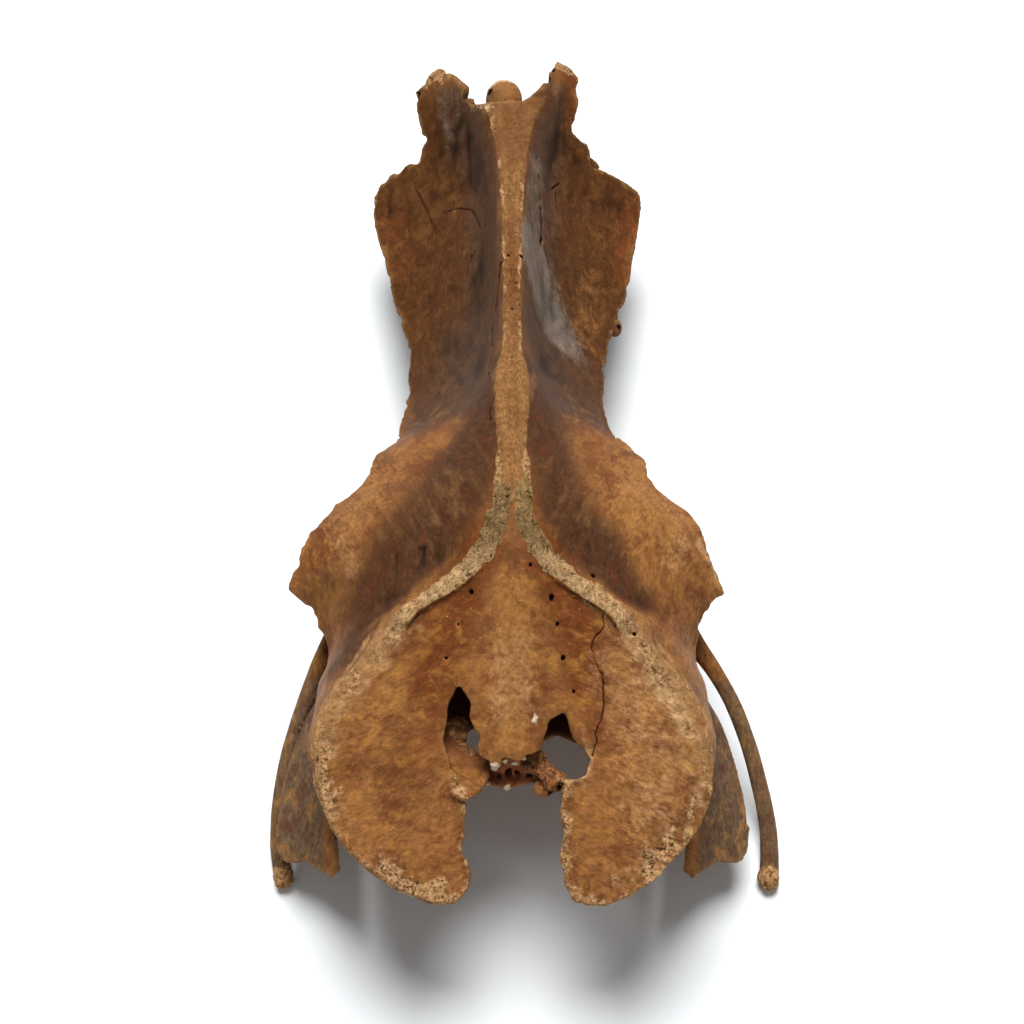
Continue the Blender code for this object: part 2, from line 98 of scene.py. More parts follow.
# How far the free edges are torn: roof, plate and tail. Bites start from points this far
# apart, leave the midline whole, and grow towards the front ends of the wings.
ROOF_BITE = 2.3
PLATE_BITE = 1.3
TAIL_BITE = 1.0
BITE_STEP = 1.6
WHOLE_MIDDLE = 7
FRONT_TEAR = (225, 240)

# Roof of the two ilia, one half: y, then x and z of the crest's inner edge, its outer edge,
# the hollow beside it, the swelling outside that, and the free edge or rim.
ROOF = (
    (293, (0, 112), (28, 113), (38, 109), (49, 103), (66, 96)),
    (275, (0, 118), (24, 117), (34, 108), (47, 98), (66, 88)),
    (257, (0, 123), (18, 120), (28, 104), (43, 90), (66, 76)),
    (245, (0, 127), (14, 124), (26, 101), (47, 82), (72, 68)),
    (222, (0, 134), (10, 130.5), (24, 99), (54, 73), (92, 53)),
    (190, (0, 144), (7, 141), (21, 104), (50, 76), (90, 54)),
    (143, (0, 158), (5.5, 155), (18, 114), (42, 83), (76, 58)),
    (95, (0, 172), (4.6, 169), (17, 131), (37, 99), (64, 70)),
    (60, (0, 182), (5, 179), (19, 146), (40, 115), (64, 86)),
    (40, (0, 188), (8.7, 185), (24, 155), (45, 127), (68, 98)),
    (21, (0, 194), (9.2, 190.5), (30, 163), (56, 139), (82, 113)),
    (-7, (0, 200), (7.7, 197), (35, 174), (64, 150), (96, 119)),
    (-33, (0, 203), (9.5, 200), (40, 181), (78, 154), (114, 121)),
    (-47, (1, 200), (11, 198), (44, 179), (84, 151), (119, 118)),
    (-60, (5, 194), (16, 192), (50, 172), (88, 146), (124, 113)),
    (-68, (9, 191), (22, 188), (54, 169), (88, 144), (114, 114)),
    (-78, (17, 187), (34, 184), (60, 165), (88, 140), (107, 109)),
    (-88, (31, 182), (47, 179), (68, 159), (88, 136), (102, 102)),
    (-98, (49, 178), (62, 175), (77, 156), (91, 133), (102, 98)),
    (-111, (62, 168.5), (72, 165.5), (85, 152), (97, 131), (106, 101)),
    (-127, (76, 160.5), (85, 158), (94, 147), (101, 131), (107, 109)),
    (-141, (87, 154), (96, 151.5), (101, 145), (105, 134), (108, 119)),
    (-152, (94, 148.5), (102, 146.5), (105, 143), (107, 136), (109, 127)),
    (-168, (97, 139), (104, 138), (106, 136), (107, 134), (108, 131)),
)

# Broken free edges of the two wings, seen from above, head end first.
LEFT_WING = (
    (-6, 258), (-17, 258), (-21, 264), (-29, 277), (-37, 288), (-44, 294), (-53, 290),
    (-60, 285), (-58, 271), (-54, 256), (-57, 243), (-63, 245), (-71, 242), (-80, 241),
    (-85, 231), (-86, 217), (-82, 197), (-77, 178), (-72, 155), (-67, 137), (-61, 115),
    (-61, 98), (-61, 81), (-64, 62), (-65, 46), (-66, 30), (-72, 25), (-79, 24), (-80, 11),
    (-83, 0), (-92, -7), (-106, -12), (-113, -22), (-117, -35), (-121, -45), (-126, -58),
    (-121, -62), (-114, -69), (-109, -78), (-120, -90), (-120, -180), (0, -180), (0, 258),
)
RIGHT_WING = (
    (6, 258), (11, 263), (17, 271), (23, 284), (28, 292), (37, 289), (42, 283), (39, 267),
    (35, 255), (40, 253), (46, 252), (48, 246), (47, 239), (55, 239), (64, 237), (73, 234),
    (79, 230), (80, 222), (77, 200), (73, 178), (70, 158), (63, 137), (57, 117), (54, 96),
    (53, 72), (54, 50), (57, 30), (62, 18), (70, 17), (75, 14), (76, 3), (80, -8), (90, -14),
    (99, -18), (105, -28), (109, -42), (113, -54), (119, -62), (112, -66), (106, -74),
    (103, -80), (120, -90), (120, -180), (0, -180), (0, 258),
)

# Flat back plate: it falls backwards from the apex, with a low keel on the midline.
APEX_Y = -45
APEX_Z = 197
PLATE_FALL = 0.437
KEEL_RISE = 5.0
KEEL_SPREAD = 21.0
SIDE_DROOP = 4.0
PLATE_REACH = 114
PLATE_BACK = -246
PLATE_FRONT = -38

PLATE_OUTLINE = (
    (0, -40), (-9, -56), (-19, -70), (-38, -84), (-58, -96), (-71, -110), (-84, -126),
    (-96, -141), (-103, -152), (-107, -165), (-106, -180), (-102, -192), (-96, -204),
    (-85, -217), (-72, -227), (-56, -235), (-40, -241), (-30, -241), (-24, -234),
    (-22, -226), (-26, -216), (-25, -192), (-30, -184), (-32, -172), (-37, -160),
    (-34, -145), (-32, -139), (-29, -132), (-26, -136), (-22, -142), (-23, -149), (-20, -155),
    (-17, -159), (-19, -164), (-17, -169), (-12, -171), (-3, -170), (3, -172), (9, -169),
    (15, -166), (17, -159), (21, -150), (28, -146), (30, -150), (32, -159), (37, -164),
    (42, -169), (39, -178), (28, -180), (27, -188), (26, -198), (28, -206), (25, -218),
    (28, -230), (33, -240), (49, -242), (63, -237), (79, -227), (92, -215), (102, -201),
    (108, -186), (109, -170), (104, -155), (97, -141), (84, -125), (71, -110), (58, -96),
    (38, -84), (20, -70), (9, -56),
)

# Where the end of the right arm breaks up over the plate's edge, seen from above.
CRUMBLED = ((44, -88), (58, -99), (67, -111), (78, -127), (88, -142), (96, -156))

# Crumbled rim that stands a little over the plate, from the apex round to the lobe's end.
RIM_RADIUS = 4.0
RIM_SINK = 2.5
RIM_CELLS = 150
RIM_LINE = (
    (3, -42), (9, -56), (18, -69), (36, -83), (56, -96), (70, -110), (83, -126), (94, -141),
    (101, -153), (104, -166), (103, -180), (99, -191), (93, -203), (82, -215), (69, -225),
    (53, -233), (38, -238),
)

# Bodies of the fused vertebrae: y, half width, lowest and highest z.
CENTRA = (
    (276, 18, 3, 36), (263, 20, -2, 38), (247, 15, 5, 38), (233, 19, 5, 43), (215, 15, 13, 47),
    (199, 19, 15, 53), (180, 16, 23, 58), (163, 20, 26, 63), (120, 21, 39, 75), (80, 25, 51, 87),
    (40, 28, 62, 98), (0, 28, 72, 108), (-40, 24, 83, 115), (-80, 18, 94, 120),
    (-120, 13, 104, 127), (-150, 11, 107, 127), (-172, 13, 107, 124),
)
CENTRA_CELLS = 200

# Arch over the nerve canal, and the wall of grown-together spines from there up to the crest.
CANAL_HEIGHT = 18
ARCH_THICKNESS = 5.0
ARCH_FOOT_X = 10.0
ARCH_TOP_X = 1.5
ARCH_SINK = 5
SPINES_THICKNESS = 6.0
SPINES_SINK = 3
ROOF_GAP = 2
ARCH_CELLS = (12, 160)
SPINES_CELLS = (36, 160)

# Struts from the vertebrae to the walls: y, x and z at the wall, then half thickness and depth.
RIBS = (
    (249, 50, 78, 3.5, 7), (222, 66, 62, 3.5, 8), (188, 64, 62, 3.5, 8), (156, 58, 66, 3.5, 8),
    (124, 52, 76, 4, 8), (94, 50, 84, 4, 8), (66, 54, 90, 5, 9), (38, 57, 96, 6, 10),
    (12, 62, 90, 7, 11), (-20, 74, 116, 7, 9), (-50, 84, 92, 6, 11), (-76, 80, 132, 4, 7),
    (-100, 62, 162, 3.5, 6),
)
RIB_LEAN = 6
RIB_ROOT_X = 8
RIB_ROOT_SINK = 6
RIB_SAG = 3
RIB_WAIST = 0.8

# Hip sockets: middle, turn of the ring in degrees, its radius and the half sizes of its band,
# then the hood above it: x and y on the roof, and the place round the ring in degrees.
SOCKET = (78, -18, 83)
SOCKET_TOE = 25
SOCKET_RADIUS = 28
SOCKET_BAND = (10, 7)
HOOD_RIM = (
    (58, 34, -30), (65, 23, -5), (71, 10, 25), (76, -4, 50), (88, -12, 75), (99, -21, 95),
    (106, -36, 115), (110, -50, 135), (114, -60, 150), (106, -69, 170), (101, -80, 185),
)
HOOD_THICKNESS = 8
HOOD_CELLS = (22, 70)

# Ischium: a thin blade, by y, upper edge x and z, lower edge x and z, then its outline seen
# from above.
ISCHIUM = (
    (-36, (92, 98), (84, 58)), (-60, (98, 98), (96, 60)), (-80, (100, 96), (102, 60)),
    (-98, (101, 89), (108, 56)), (-117, (102, 81), (119, 50)), (-138, (103, 73), (127, 43)),
    (-156, (103, 67), (132, 37)), (-176, (101, 62), (134, 32)), (-212, (97, 58), (130, 27)),
)
ISCHIUM_END = ((80, -20), (80, -203), (95, -203), (100, -209), (106, -205), (111, -201),
               (117, -196), (123, -196), (130, -193), (134, -186), (140, -150), (150, -20))

# Pubis: a slender bent rod, by x, y, z and radius, and its lower end on each side.
PUBIS_ROOT = ((75, 4, 62, 6), (80, -10, 54, 8), (89, -32, 54, 8), (99, -56, 60, 6.5))
PUBIS_LEFT = (
    (108, -77, 62, 5.6), (116, -95, 56, 5), (124, -114, 46, 4.7), (131, -135, 33, 4.7),
    (135, -154, 22, 4.7), (136, -174, 11, 5), (134, -190, 4.6, 5.6), (132, -198, 3.4, 5.4),
)
PUBIS_RIGHT = (
    (107, -73, 63, 5.6), (117, -86, 57, 5), (128, -103, 48, 4.7), (137, -123, 37, 4.7),
    (144, -145, 25, 4.7), (149, -166, 13, 5), (150, -188, 4.8, 5.6), (149, -200, 3.4, 5.4),
)
PUBIS_CELLS = 120

# Rounded lumps: middle and radii, for the right side; those on the midline come after.
SIDE_LUMPS = (
    ((106, -52, 107), (12, 12, 12)), ((67, 17, 110), (8, 10, 12)), ((94, -50, 84), (8, 12, 16)),
    ((68, 14, 82), (7, 10, 22)), ((11, 263, 51), (7, 12, 8)),
)
MIDLINE_LUMPS = (((-5, 269, 108.5), (11.5, 14, 10.5)), ((17, -181, 127), (6, 5, 4)))

# Broken end of the last vertebrae. Thin shelves below the plate: thickness, height at the
# first corner with its rise across and along, and the outline seen from above. Then the rod
# of the broken side process on the right, the line of the slab on the left, and three thin
# walls that stand in the hollow end.
TAIL_SHELVES = (
    (4.0, 120, -0.25, -0.3, (
        (-37, -114), (-12, -114), (-14, -134), (-17, -144), (-24, -148), (-26, -156), (-20, -161),
        (-13, -164), (-12, -176), (-17, -186), (-25, -192), (-33, -190), (-35, -180),
        (-40, -165))),
    (4.0, 120, 0.45, 0, (
        (10, -126), (46, -126), (47, -164), (41, -162), (33, -155), (24, -150), (18, -153),
        (10, -152))),
    (3.0, 123, 0, -0.1, (
        (-17, -164), (13, -164), (13, -176), (6, -178), (-2, -179), (-10, -179), (-17, -176))),
)
TAIL_STRUT = ((9, -163, 134), (18, -173, 131), (25, -182, 133))
TAIL_STRUT_RADIUS = 6.0
TAIL_SLAB = ((-32, -146, 124), (-24, -164, 124), (-26, -186, 120))
TAIL_SEPTA = (((-5, -169, 141), (-4.5, -174, 124)), ((0, -169, 141), (1, -174, 124)),
              ((5, -168, 141), (6, -174, 124)))
SEPTUM_RADIUS = 1.0

# Small lumps, middle and radii: a knob on the right wing's edge and the ends of both rods,
# then crumbs of white bone in the tail.
LOOSE_LUMPS = (
    ((62.5, 132, 69), (4.6, 6, 5)), ((-133, -194, 6.6), (6.4, 8, 6.2)),
    ((149, -195, 6.6), (6.4, 8, 6.2)),
)
WHITE_LUMPS = (
    ((-9, -173, 145.4), (3.6, 2.8, 2.6)), ((-9.6, -174, 141.2), (2.4, 1.9, 2.8)),
    ((-3.8, -170.6, 144.2), (1.8, 1.5, 1.3)), ((1.5, -172, 143), (2.2, 1.1, 1.6)),
    ((6.8, -169.6, 143.8), (2, 1.2, 1.2)), ((-2.7, -180, 125), (2.2, 1.3, 1.2)),
    ((-13, -177.5, 126), (1.3, 1.2, 1.1)),
)

# Holes for nerves and vessels in the back plate, seen from above: x, y and radius; they are painted
# dark with shade. Then their depth, and how far under the plate's middle nothing is cut for them.
NERVE_HOLES = (
    (-22, -88.5, 1.1), (10, -76, 0.9), (21.5, -91.5, 1.6), (24.5, -104, 0.9),
    (27.6, -120.5, 1.2), (33.3, -137, 0.8), (-29, -104, 0.5), (-35.5, -120.5, 0.9),
    (-39, -132, 0.6), (-11.4, -71.6, 0.5),
)
HOLE_DEPTH = 3.5
UNDER_PLATE = 7

# White chip on the keel, seen from above. Hollows where spongy bone broke off, painted dark with
# shade: x, y, z and radius. In the distance to a hollow or slit, height counts less, since walls
# are steep.
PALE_CHIP = ((12.2, -149.4), (12.2, -154.6))
BROKEN_HOLLOWS = (
    (-56, 287, 102, 3.2), (-60, 280, 98, 4), (24, 286, 119, 3.4), (21, 277, 121, 3.6),
    (65, 131, 72, 1.6), (-14.5, 272, 114, 2.8), (-2, 128, 165, 1.6), (6, 128, 164, 1.8),
    (-44, -91, 181, 1.4), (-8, 111, 163, 1.7), (-9, 97, 163, 1.5), (2, 107, 172, 1.2),
    (0, 87, 177, 1.1), (3, 94, 176, 0.9), (44, -78, 181, 1.6), (58, -96, 174, 1.6),
    (52, -105, 171, 1.2), (66, -108, 168, 1.4),
    (-72, 250, 74, 1.5), (14, -176, 127, 2.4), (21, -186, 131, 2.4), (26, -182, 134, 2),
)
HOLLOW_FLAT = 0.35

# Crack on the right of the plate, seen from above, with its width and depth, painted dark with
# shade. Then the slits and slanting grooves of the roof, each with how wide, how deep and how dark
# its painted shade is.
CRACK_WIDTH = 0.62
CRACK_DEPTH = 1.4
PLATE_CRACK = (
    (49, -99), (50, -105), (47, -108.5), (43.3, -112), (43.3, -117), (45, -123.4),
    (48.3, -128.5), (49.2, -135.7), (49.6, -144), (48.3, -150), (45.6, -157.3),
    (45.1, -162.4), (43.3, -168.6),
)
ROOF_SLITS = (
    (0.9, 2.2, 1.0, ((14.6, 217, 126), (15.6, 211, 123))),
    (1.0, 2.4, 1.0, ((16.2, 207, 121.5), (17, 198, 120), (17.2, 192, 119))),
    (1.4, 2.6, 1.0, ((17.4, 187, 118), (18, 178, 117), (18, 168, 118), (17.4, 160, 120.5))),
    (0.7, 1.2, 0.7, ((20, 160, 114), (23, 150, 110))),
    (0.7, 1.0, 0.7, ((24, 209, 103), (29, 217, 97))),
    (0.7, 1.0, 0.7, ((27, 209, 99), (27, 197, 100))),
    (0.7, 1.0, 0.6, ((31, 229, 96), (34, 222, 93))),
    (1.6, 0.9, 0.2, ((33, 148, 96), (44, 120, 88), (53, 97, 85))),
    (1.3, 1.8, 0.9, ((-7, 124, 163), (-7.6, 113, 163), (-9, 102, 163), (-9.4, 94, 162))),
    (2.2, 0.5, 0.3, ((1, 118, 169), (1.4, 94, 176), (2, 68, 183))),
    (0.9, 1.2, 0.6, ((-12, 92, 157), (-12, 80, 160), (-11, 66, 168), (-13, 50, 174))),
    (0.9, 1.0, 0.7, ((-13, 46, 178), (-12, 27, 186), (-12, 9, 194))),
    (0.9, 0.8, 0.4, ((-42, 203, 85), (-34, 202, 92), (-25, 195, 102), (-22, 187, 107))),
    (0.8, 0.8, 0.4, ((-21, 184, 108), (-19, 174, 115))),
    (1.1, 0.9, 0.4, ((-25, 161, 105), (-29, 146, 101))),
    (0.9, 0.8, 0.4, ((-22, 163, 109), (-27, 155, 103))),
    (1.3, -0.7, 0.0, ((-58, 226, 74), (-52, 213, 78), (-45, 192, 83))),
    (0.9, 0.6, 0.3, ((-47, 190, 82), (-54, 212, 76), (-60, 226, 72))),
)


def smooth_track(keys, values):
    """Function that reads a smooth curve through the values at the keys."""
    keys = np.asarray(keys, float)
    values = np.asarray(values, float)
    if keys[0] > keys[-1]:
        keys, values = keys[::-1], values[::-1]
    slopes = np.gradient(values, keys, axis=0)

    def read(at):
        at = min(max(at, keys[0]), keys[-1])
        i = min(int(np.searchsorted(keys, at, side="right")) - 1, len(keys) - 2)
        span = keys[i + 1] - keys[i]
        t = (at - keys[i]) / span
        ease = t * t * (3 - 2 * t)
        leave = slopes[i] * t * (1 - t) ** 2 * span
        arrive = slopes[i + 1] * t * t * (1 - t) * span
        return values[i] + (values[i + 1] - values[i]) * ease + leave - arrive

    return read


def scattered(i, j, k, seed):
    """Even numbers from 0 to 1, one for each whole place i, j, k."""
    mixed = (i * 73856093) ^ (j * 19349663) ^ (k * 83492791) ^ (seed * 2654435761)
    mixed = mixed & 0xFFFFFFFF
    mixed = ((mixed ^ (mixed >> 15)) * 2246822519) & 0xFFFFFFFF
    mixed = ((mixed ^ (mixed >> 13)) * 3266489917) & 0xFFFFFFFF
    return ((mixed ^ (mixed >> 16)) & 0xFFFFFF) / 0xFFFFFF


def ripple(points, size, seed):
    """Smooth random swell from -1 to 1 with humps about size apart."""
    at = points / size
    base = np.floor(at).astype(np.int64)
    t = at - base
    t = t * t * (3 - 2 * t)
    total = np.zeros(len(points))
    for corner in range(8):
        step = np.array((corner & 1, corner >> 1 & 1, corner >> 2 & 1))
        share = np.prod(np.where(step, t, 1 - t), axis=1)
        place = base + step
        total += share * scattered(place[:, 0], place[:, 1], place[:, 2], seed)
    return total * 2 - 1


def swells(points, name):
    return sum(ripple(points, size, seed) * height for size, seed, height in SWELLS[name])


def pores(points, size, seed, widest=0.42):
    """Depth share of scattered round pits of many sizes, about size apart."""
    at = points / size
    base = np.floor(at).astype(np.int64)
    deepest = np.zeros(len(points))
    for step in np.ndindex(3, 3, 3):
        i, j, k = (base + np.array(step) - 1).T
        middle = np.stack([scattered(i, j, k, seed + n) for n in range(3)], axis=1)
        gap = np.linalg.norm(at - middle - np.stack((i, j, k), axis=1), axis=1)
        radius = widest * scattered(i, j, k, seed + 3) ** 1.5 + 0.02
        deepest = np.maximum(deepest, soft_step(1.0, 0.45, gap / radius) * radius / widest)
    return deepest


def soft_step(low, high, value):
    t = np.clip((value - low) / (high - low), 0, 1)
    return t * t * (3 - 2 * t)


def line_distance(points, line, reach=1e6, closed=False):
    """Distance from each point to a line of corners, in plan where the corners are (x, y)."""
    corners = np.array(list(line) + ([line[0]] if closed or len(line) == 1 else []), float)
    spots = points[:, :corners.shape[1]]
    close = ((spots > corners.min(0) - reach) & (spots < corners.max(0) + reach)).all(1)
    near = np.flatnonzero(close)
    best = np.full(len(points), float(reach))
    spots, found = spots[near], best[near]
    for start, step in zip(corners, np.diff(corners, axis=0)):
        away = spots - start
        share = np.clip((away @ step) / max(step @ step, TINY), 0, 1)
        found = np.minimum(found, np.linalg.norm(away - share[:, None] * step, axis=1))
    best[near] = found
    return best


def inside(outline, points):
    """True for each point in plan that lies within the closed outline."""
    hit = np.zeros(len(points), bool)
    x, y = points[:, 0], points[:, 1]
    x0, y0 = outline[-1]
    for x1, y1 in outline:
        if y1 != y0:
            crossing = (x0 - x1) * (y - y1) / (y0 - y1) + x1
            hit ^= ((y1 > y) != (y0 > y)) & (x < crossing)
        x0, y0 = x1, y1
    return hit


def nearest_on(start, step, x, y):
    """Point of the closed outline that is nearest to x, y."""
    away = np.array((x, y)) - start
    share = np.clip((away * step).sum(1) / np.maximum((step * step).sum(1), TINY), 0, 1)
    spots = start + step * share[:, None]
    gaps = np.hypot(spots[:, 0] - x, spots[:, 1] - y)
    return spots[gaps.argmin()], gaps.min()


def torn(outline, bite):
    """The outline with small random bites, as thin old bone breaks; the midline stays."""
    ring = []
    for (x0, y0), (x1, y1) in zip(outline, outline[1:] + outline[:1]):
        parts = max(int(math.hypot(x1 - x0, y1 - y0) / BITE_STEP), 1)
        for n in range(parts):
            ring.append((x0 + (x1 - x0) * n / parts, y0 + (y1 - y0) * n / parts))
    points = np.array([(x, y, 0.0) for x, y in ring])
    amount = swells(points, "bites") * (1 + soft_step(*FRONT_TEAR, points[:, 1]))
    amount = np.where(np.abs(points[:, 0]) < WHOLE_MIDDLE, 0, -bite * np.maximum(amount, 0))
    facing = np.roll(points, -1, axis=0) - np.roll(points, 1, axis=0)
    facing /= np.maximum(np.linalg.norm(facing, axis=1), TINY)[:, None]
    area = sum(x0 * y1 - x1 * y0 for (x0, y0), (x1, y1) in zip(ring, ring[1:] + ring[:1]))
    out = np.sign(area) * np.stack((facing[:, 1], -facing[:, 0]), axis=1)
    return [tuple(spot) for spot in points[:, :2] + out * amount[:, None]]


def placed(name, data):
    """New object of the scene that holds the data."""
    item = bpy.data.objects.new(name, data)
    bpy.context.scene.collection.objects.link(item)
    return item


def with_modifier(mesh, kind, **settings):
    """The mesh as one modifier leaves it."""
    item = placed("step", mesh)
    change = item.modifiers.new("step", kind)
    for name, value in settings.items():
        setattr(change, name, value)
    graph = bpy.context.evaluated_depsgraph_get()
    result = bpy.data.meshes.new_from_object(item.evaluated_get(graph))
    bpy.data.objects.remove(item)
    bpy.data.meshes.remove(mesh)
    return result


def as_mesh(part, name="shape"):
    mesh = bpy.data.meshes.new(name)
    part.to_mesh(mesh)
    part.free()
    return mesh


def add_solid(bone, part, thickness=None):
    """Add a closed shape to the bone, after giving an open sheet its thickness."""
    mesh = as_mesh(part)
    if thickness:
        mesh = with_modifier(mesh, "SOLIDIFY", thickness=thickness, offset=0)
    bone.from_mesh(mesh)
    bpy.data.meshes.remove(mesh)


def add_sheet(bone, size, surface, thickness, outline=None, height=None):
    """Sheet of cells moved onto surface(u, v), trimmed to an outline seen from above."""
    part = bmesh.new()
    bmesh.ops.create_grid(part, x_segments=size[0], y_segments=size[1], size=1)
    for vert in part.verts:
        vert.co = surface((vert.co.x + 1) / 2, (vert.co.y + 1) / 2)
    if outline:
        centres = np.array([face.calc_center_median() for face in part.faces])
        kept = inside(outline, centres)
        outer = [face for face, keep in zip(part.faces, kept) if not keep]
        bmesh.ops.delete(part, geom=outer, context="FACES")
        start = np.asarray(outline, float)
        step = np.roll(start, -1, axis=0) - start
        for vert in part.verts:
            if vert.is_boundary:
                (x, y), gap = nearest_on(start, step, vert.co.x, vert.co.y)
                if gap < CELL:
                    vert.co = (x, y, height(abs(x), y) if height else vert.co.z)
    add_solid(bone, part, thickness)


def add_rod(bone, line, widths, depths, cells=ROD_CELLS):
    """Rod with oval cross-sections through the points of a line, closed at both ends."""
    keys = np.arange(len(line))
    middle = smooth_track(keys, line)
    width = smooth_track(keys, widths)
    depth = smooth_track(keys, depths)
    near = 0.05
    part = bmesh.new()
    bmesh.ops.create_grid(part, x_segments=ROD_SIDES, y_segments=cells, size=1)
    for vert in part.verts:
        turn = (vert.co.x + 1) * math.pi
        place = (vert.co.y + 1) / 2 * keys[-1]
        facing = Vector(middle(place + near)) - Vector(middle(place - near))
        side = facing.cross(Vector((0, 0, 1))).normalized()
        up = side.cross(facing).normalized()
        across = side * math.cos(turn) * width(place)
        vert.co = Vector(middle(place)) + across + up * math.sin(turn) * depth(place)
    bmesh.ops.remove_doubles(part, verts=part.verts, dist=SEAM_GAP)
    rims = [edge for edge in part.edges if edge.is_boundary]
    bmesh.ops.holes_fill(part, edges=rims, sides=0)
    bmesh.ops.recalc_face_normals(part, faces=part.faces)
    add_solid(bone, part)


def add_lump(bone, middle, radii):
    part = bmesh.new()
    bmesh.ops.create_icosphere(part, subdivisions=4, radius=1)
    bmesh.ops.transform(part, matrix=Matrix.Diagonal((*radii, 1)), verts=part.verts)
    bmesh.ops.translate(part, vec=middle, verts=part.verts)
    add_solid(bone, part)


ROOF_LINES = smooth_track([row[0] for row in ROOF], [row[1:] for row in ROOF])


@functools.cache
def roof_section(y):
    """Function that reads the roof's section at y, from the crest (0) to the free edge (1)."""
    points = ROOF_LINES(y)
    places = np.linspace(0, 1, len(points))
    return smooth_track(places, points)


@functools.cache
def roof_profile(y):
    section = roof_section(y)
    return np.array([section(place) for place in np.linspace(0, 1, SECTION_READS)])


def roof_height(x, y):
    points = roof_profile(round(y * 2) / 2)
    return float(np.interp(x, points[:, 0], points[:, 1]))


def add_roof(bone):
    """The two sloping walls that meet in the crest, with their broken free edges."""
    first = ROOF[0][0]
    length = first - ROOF[-1][0]
    for side, outline in ((-1, LEFT_WING), (1, RIGHT_WING)):
        def surface(u, v):
            y = first - v * length
            x, z = roof_section(y)(u)
            return side * x, y, z
        size = (ROOF_CELLS, int(length / CELL))
        add_sheet(bone, size, surface, ROOF_THICKNESS, torn(outline, ROOF_BITE), roof_height)


def plate_height(x, y):
    keel = KEEL_RISE * np.exp(-(x / KEEL_SPREAD) ** 2)
    return APEX_Z + (y - APEX_Y) * PLATE_FALL + keel - SIDE_DROOP * (x / PLATE_REACH) ** 2


def add_plate(bone):
    """The flat back plate, with its slits, hole and notch, and the crumbled rim round it."""
    def surface(u, v):
        x = PLATE_REACH * (2 * u - 1)
        y = PLATE_BACK * (1 - v) + PLATE_FRONT * v
        return x, y, plate_height(x, y)
    cells = (int(2 * PLATE_REACH / PLATE_CELL), int((PLATE_FRONT - PLATE_BACK) / PLATE_CELL))
    outline = torn(PLATE_OUTLINE, PLATE_BITE)
    add_sheet(bone, cells, surface, PLATE_THICKNESS, outline, plate_height)
    for side in (-1, 1):
        line = [(side * x, y, plate_height(x, y) - RIM_SINK) for x, y in RIM_LINE]
        radii = [RIM_RADIUS] * len(line)
        add_rod(bone, line, radii, radii, cells=RIM_CELLS)


def add_vertebrae(bone):
    """Row of fused vertebral bodies, the arch over the nerve canal, and the tall spines' wall."""
    line = [(0, y, (low + high) / 2) for y, half, low, high in CENTRA]
    widths = [half for y, half, low, high in CENTRA]
    depths = [(high - low) / 2 for y, half, low, high in CENTRA]
    add_rod(bone, line, widths, depths, cells=CENTRA_CELLS)

    body_top = smooth_track([row[0] for row in CENTRA], [row[3] for row in CENTRA])
    crest = smooth_track([row[0] for row in ROOF], [row[1][1] for row in ROOF])
    first = CENTRA[1][0]
    length = first - CENTRA[-1][0]

    def ceiling(y):
        return (crest(y) if y > APEX_Y else plate_height(0, y)) - ROOF_GAP

    for side in (-1, 1):
        def arch(u, v):
            y = first - v * length
            low = body_top(y) - ARCH_SINK
            high = min(body_top(y) + CANAL_HEIGHT, ceiling(y))
            return side * (ARCH_FOOT_X * (1 - u) + ARCH_TOP_X * u), y, low + (high - low) * u
        add_sheet(bone, ARCH_CELLS, arch, ARCH_THICKNESS)

    def spines(u, v):
        y = first - v * length
        low = min(body_top(y) + CANAL_HEIGHT - SPINES_SINK, ceiling(y) - ROOF_GAP)
        return 0, y, low + (ceiling(y) - low) * u
    add_sheet(bone, SPINES_CELLS, spines, SPINES_THICKNESS)

    for y, wall_x, wall_z, half, depth in RIBS:
        sag_z = (body_top(y) + wall_z) / 2 - RIB_SAG
        for side in (-1, 1):
            start = (side * RIB_ROOT_X, y, body_top(y) - RIB_ROOT_SINK)
            bend = (side * (RIB_ROOT_X + wall_x) / 2, y - RIB_LEAN / 2, sag_z)
            end = (side * wall_x, y - RIB_LEAN, wall_z)
            add_rod(bone, (start, bend, end), [half] * 3, (depth, depth * RIB_WAIST, depth))


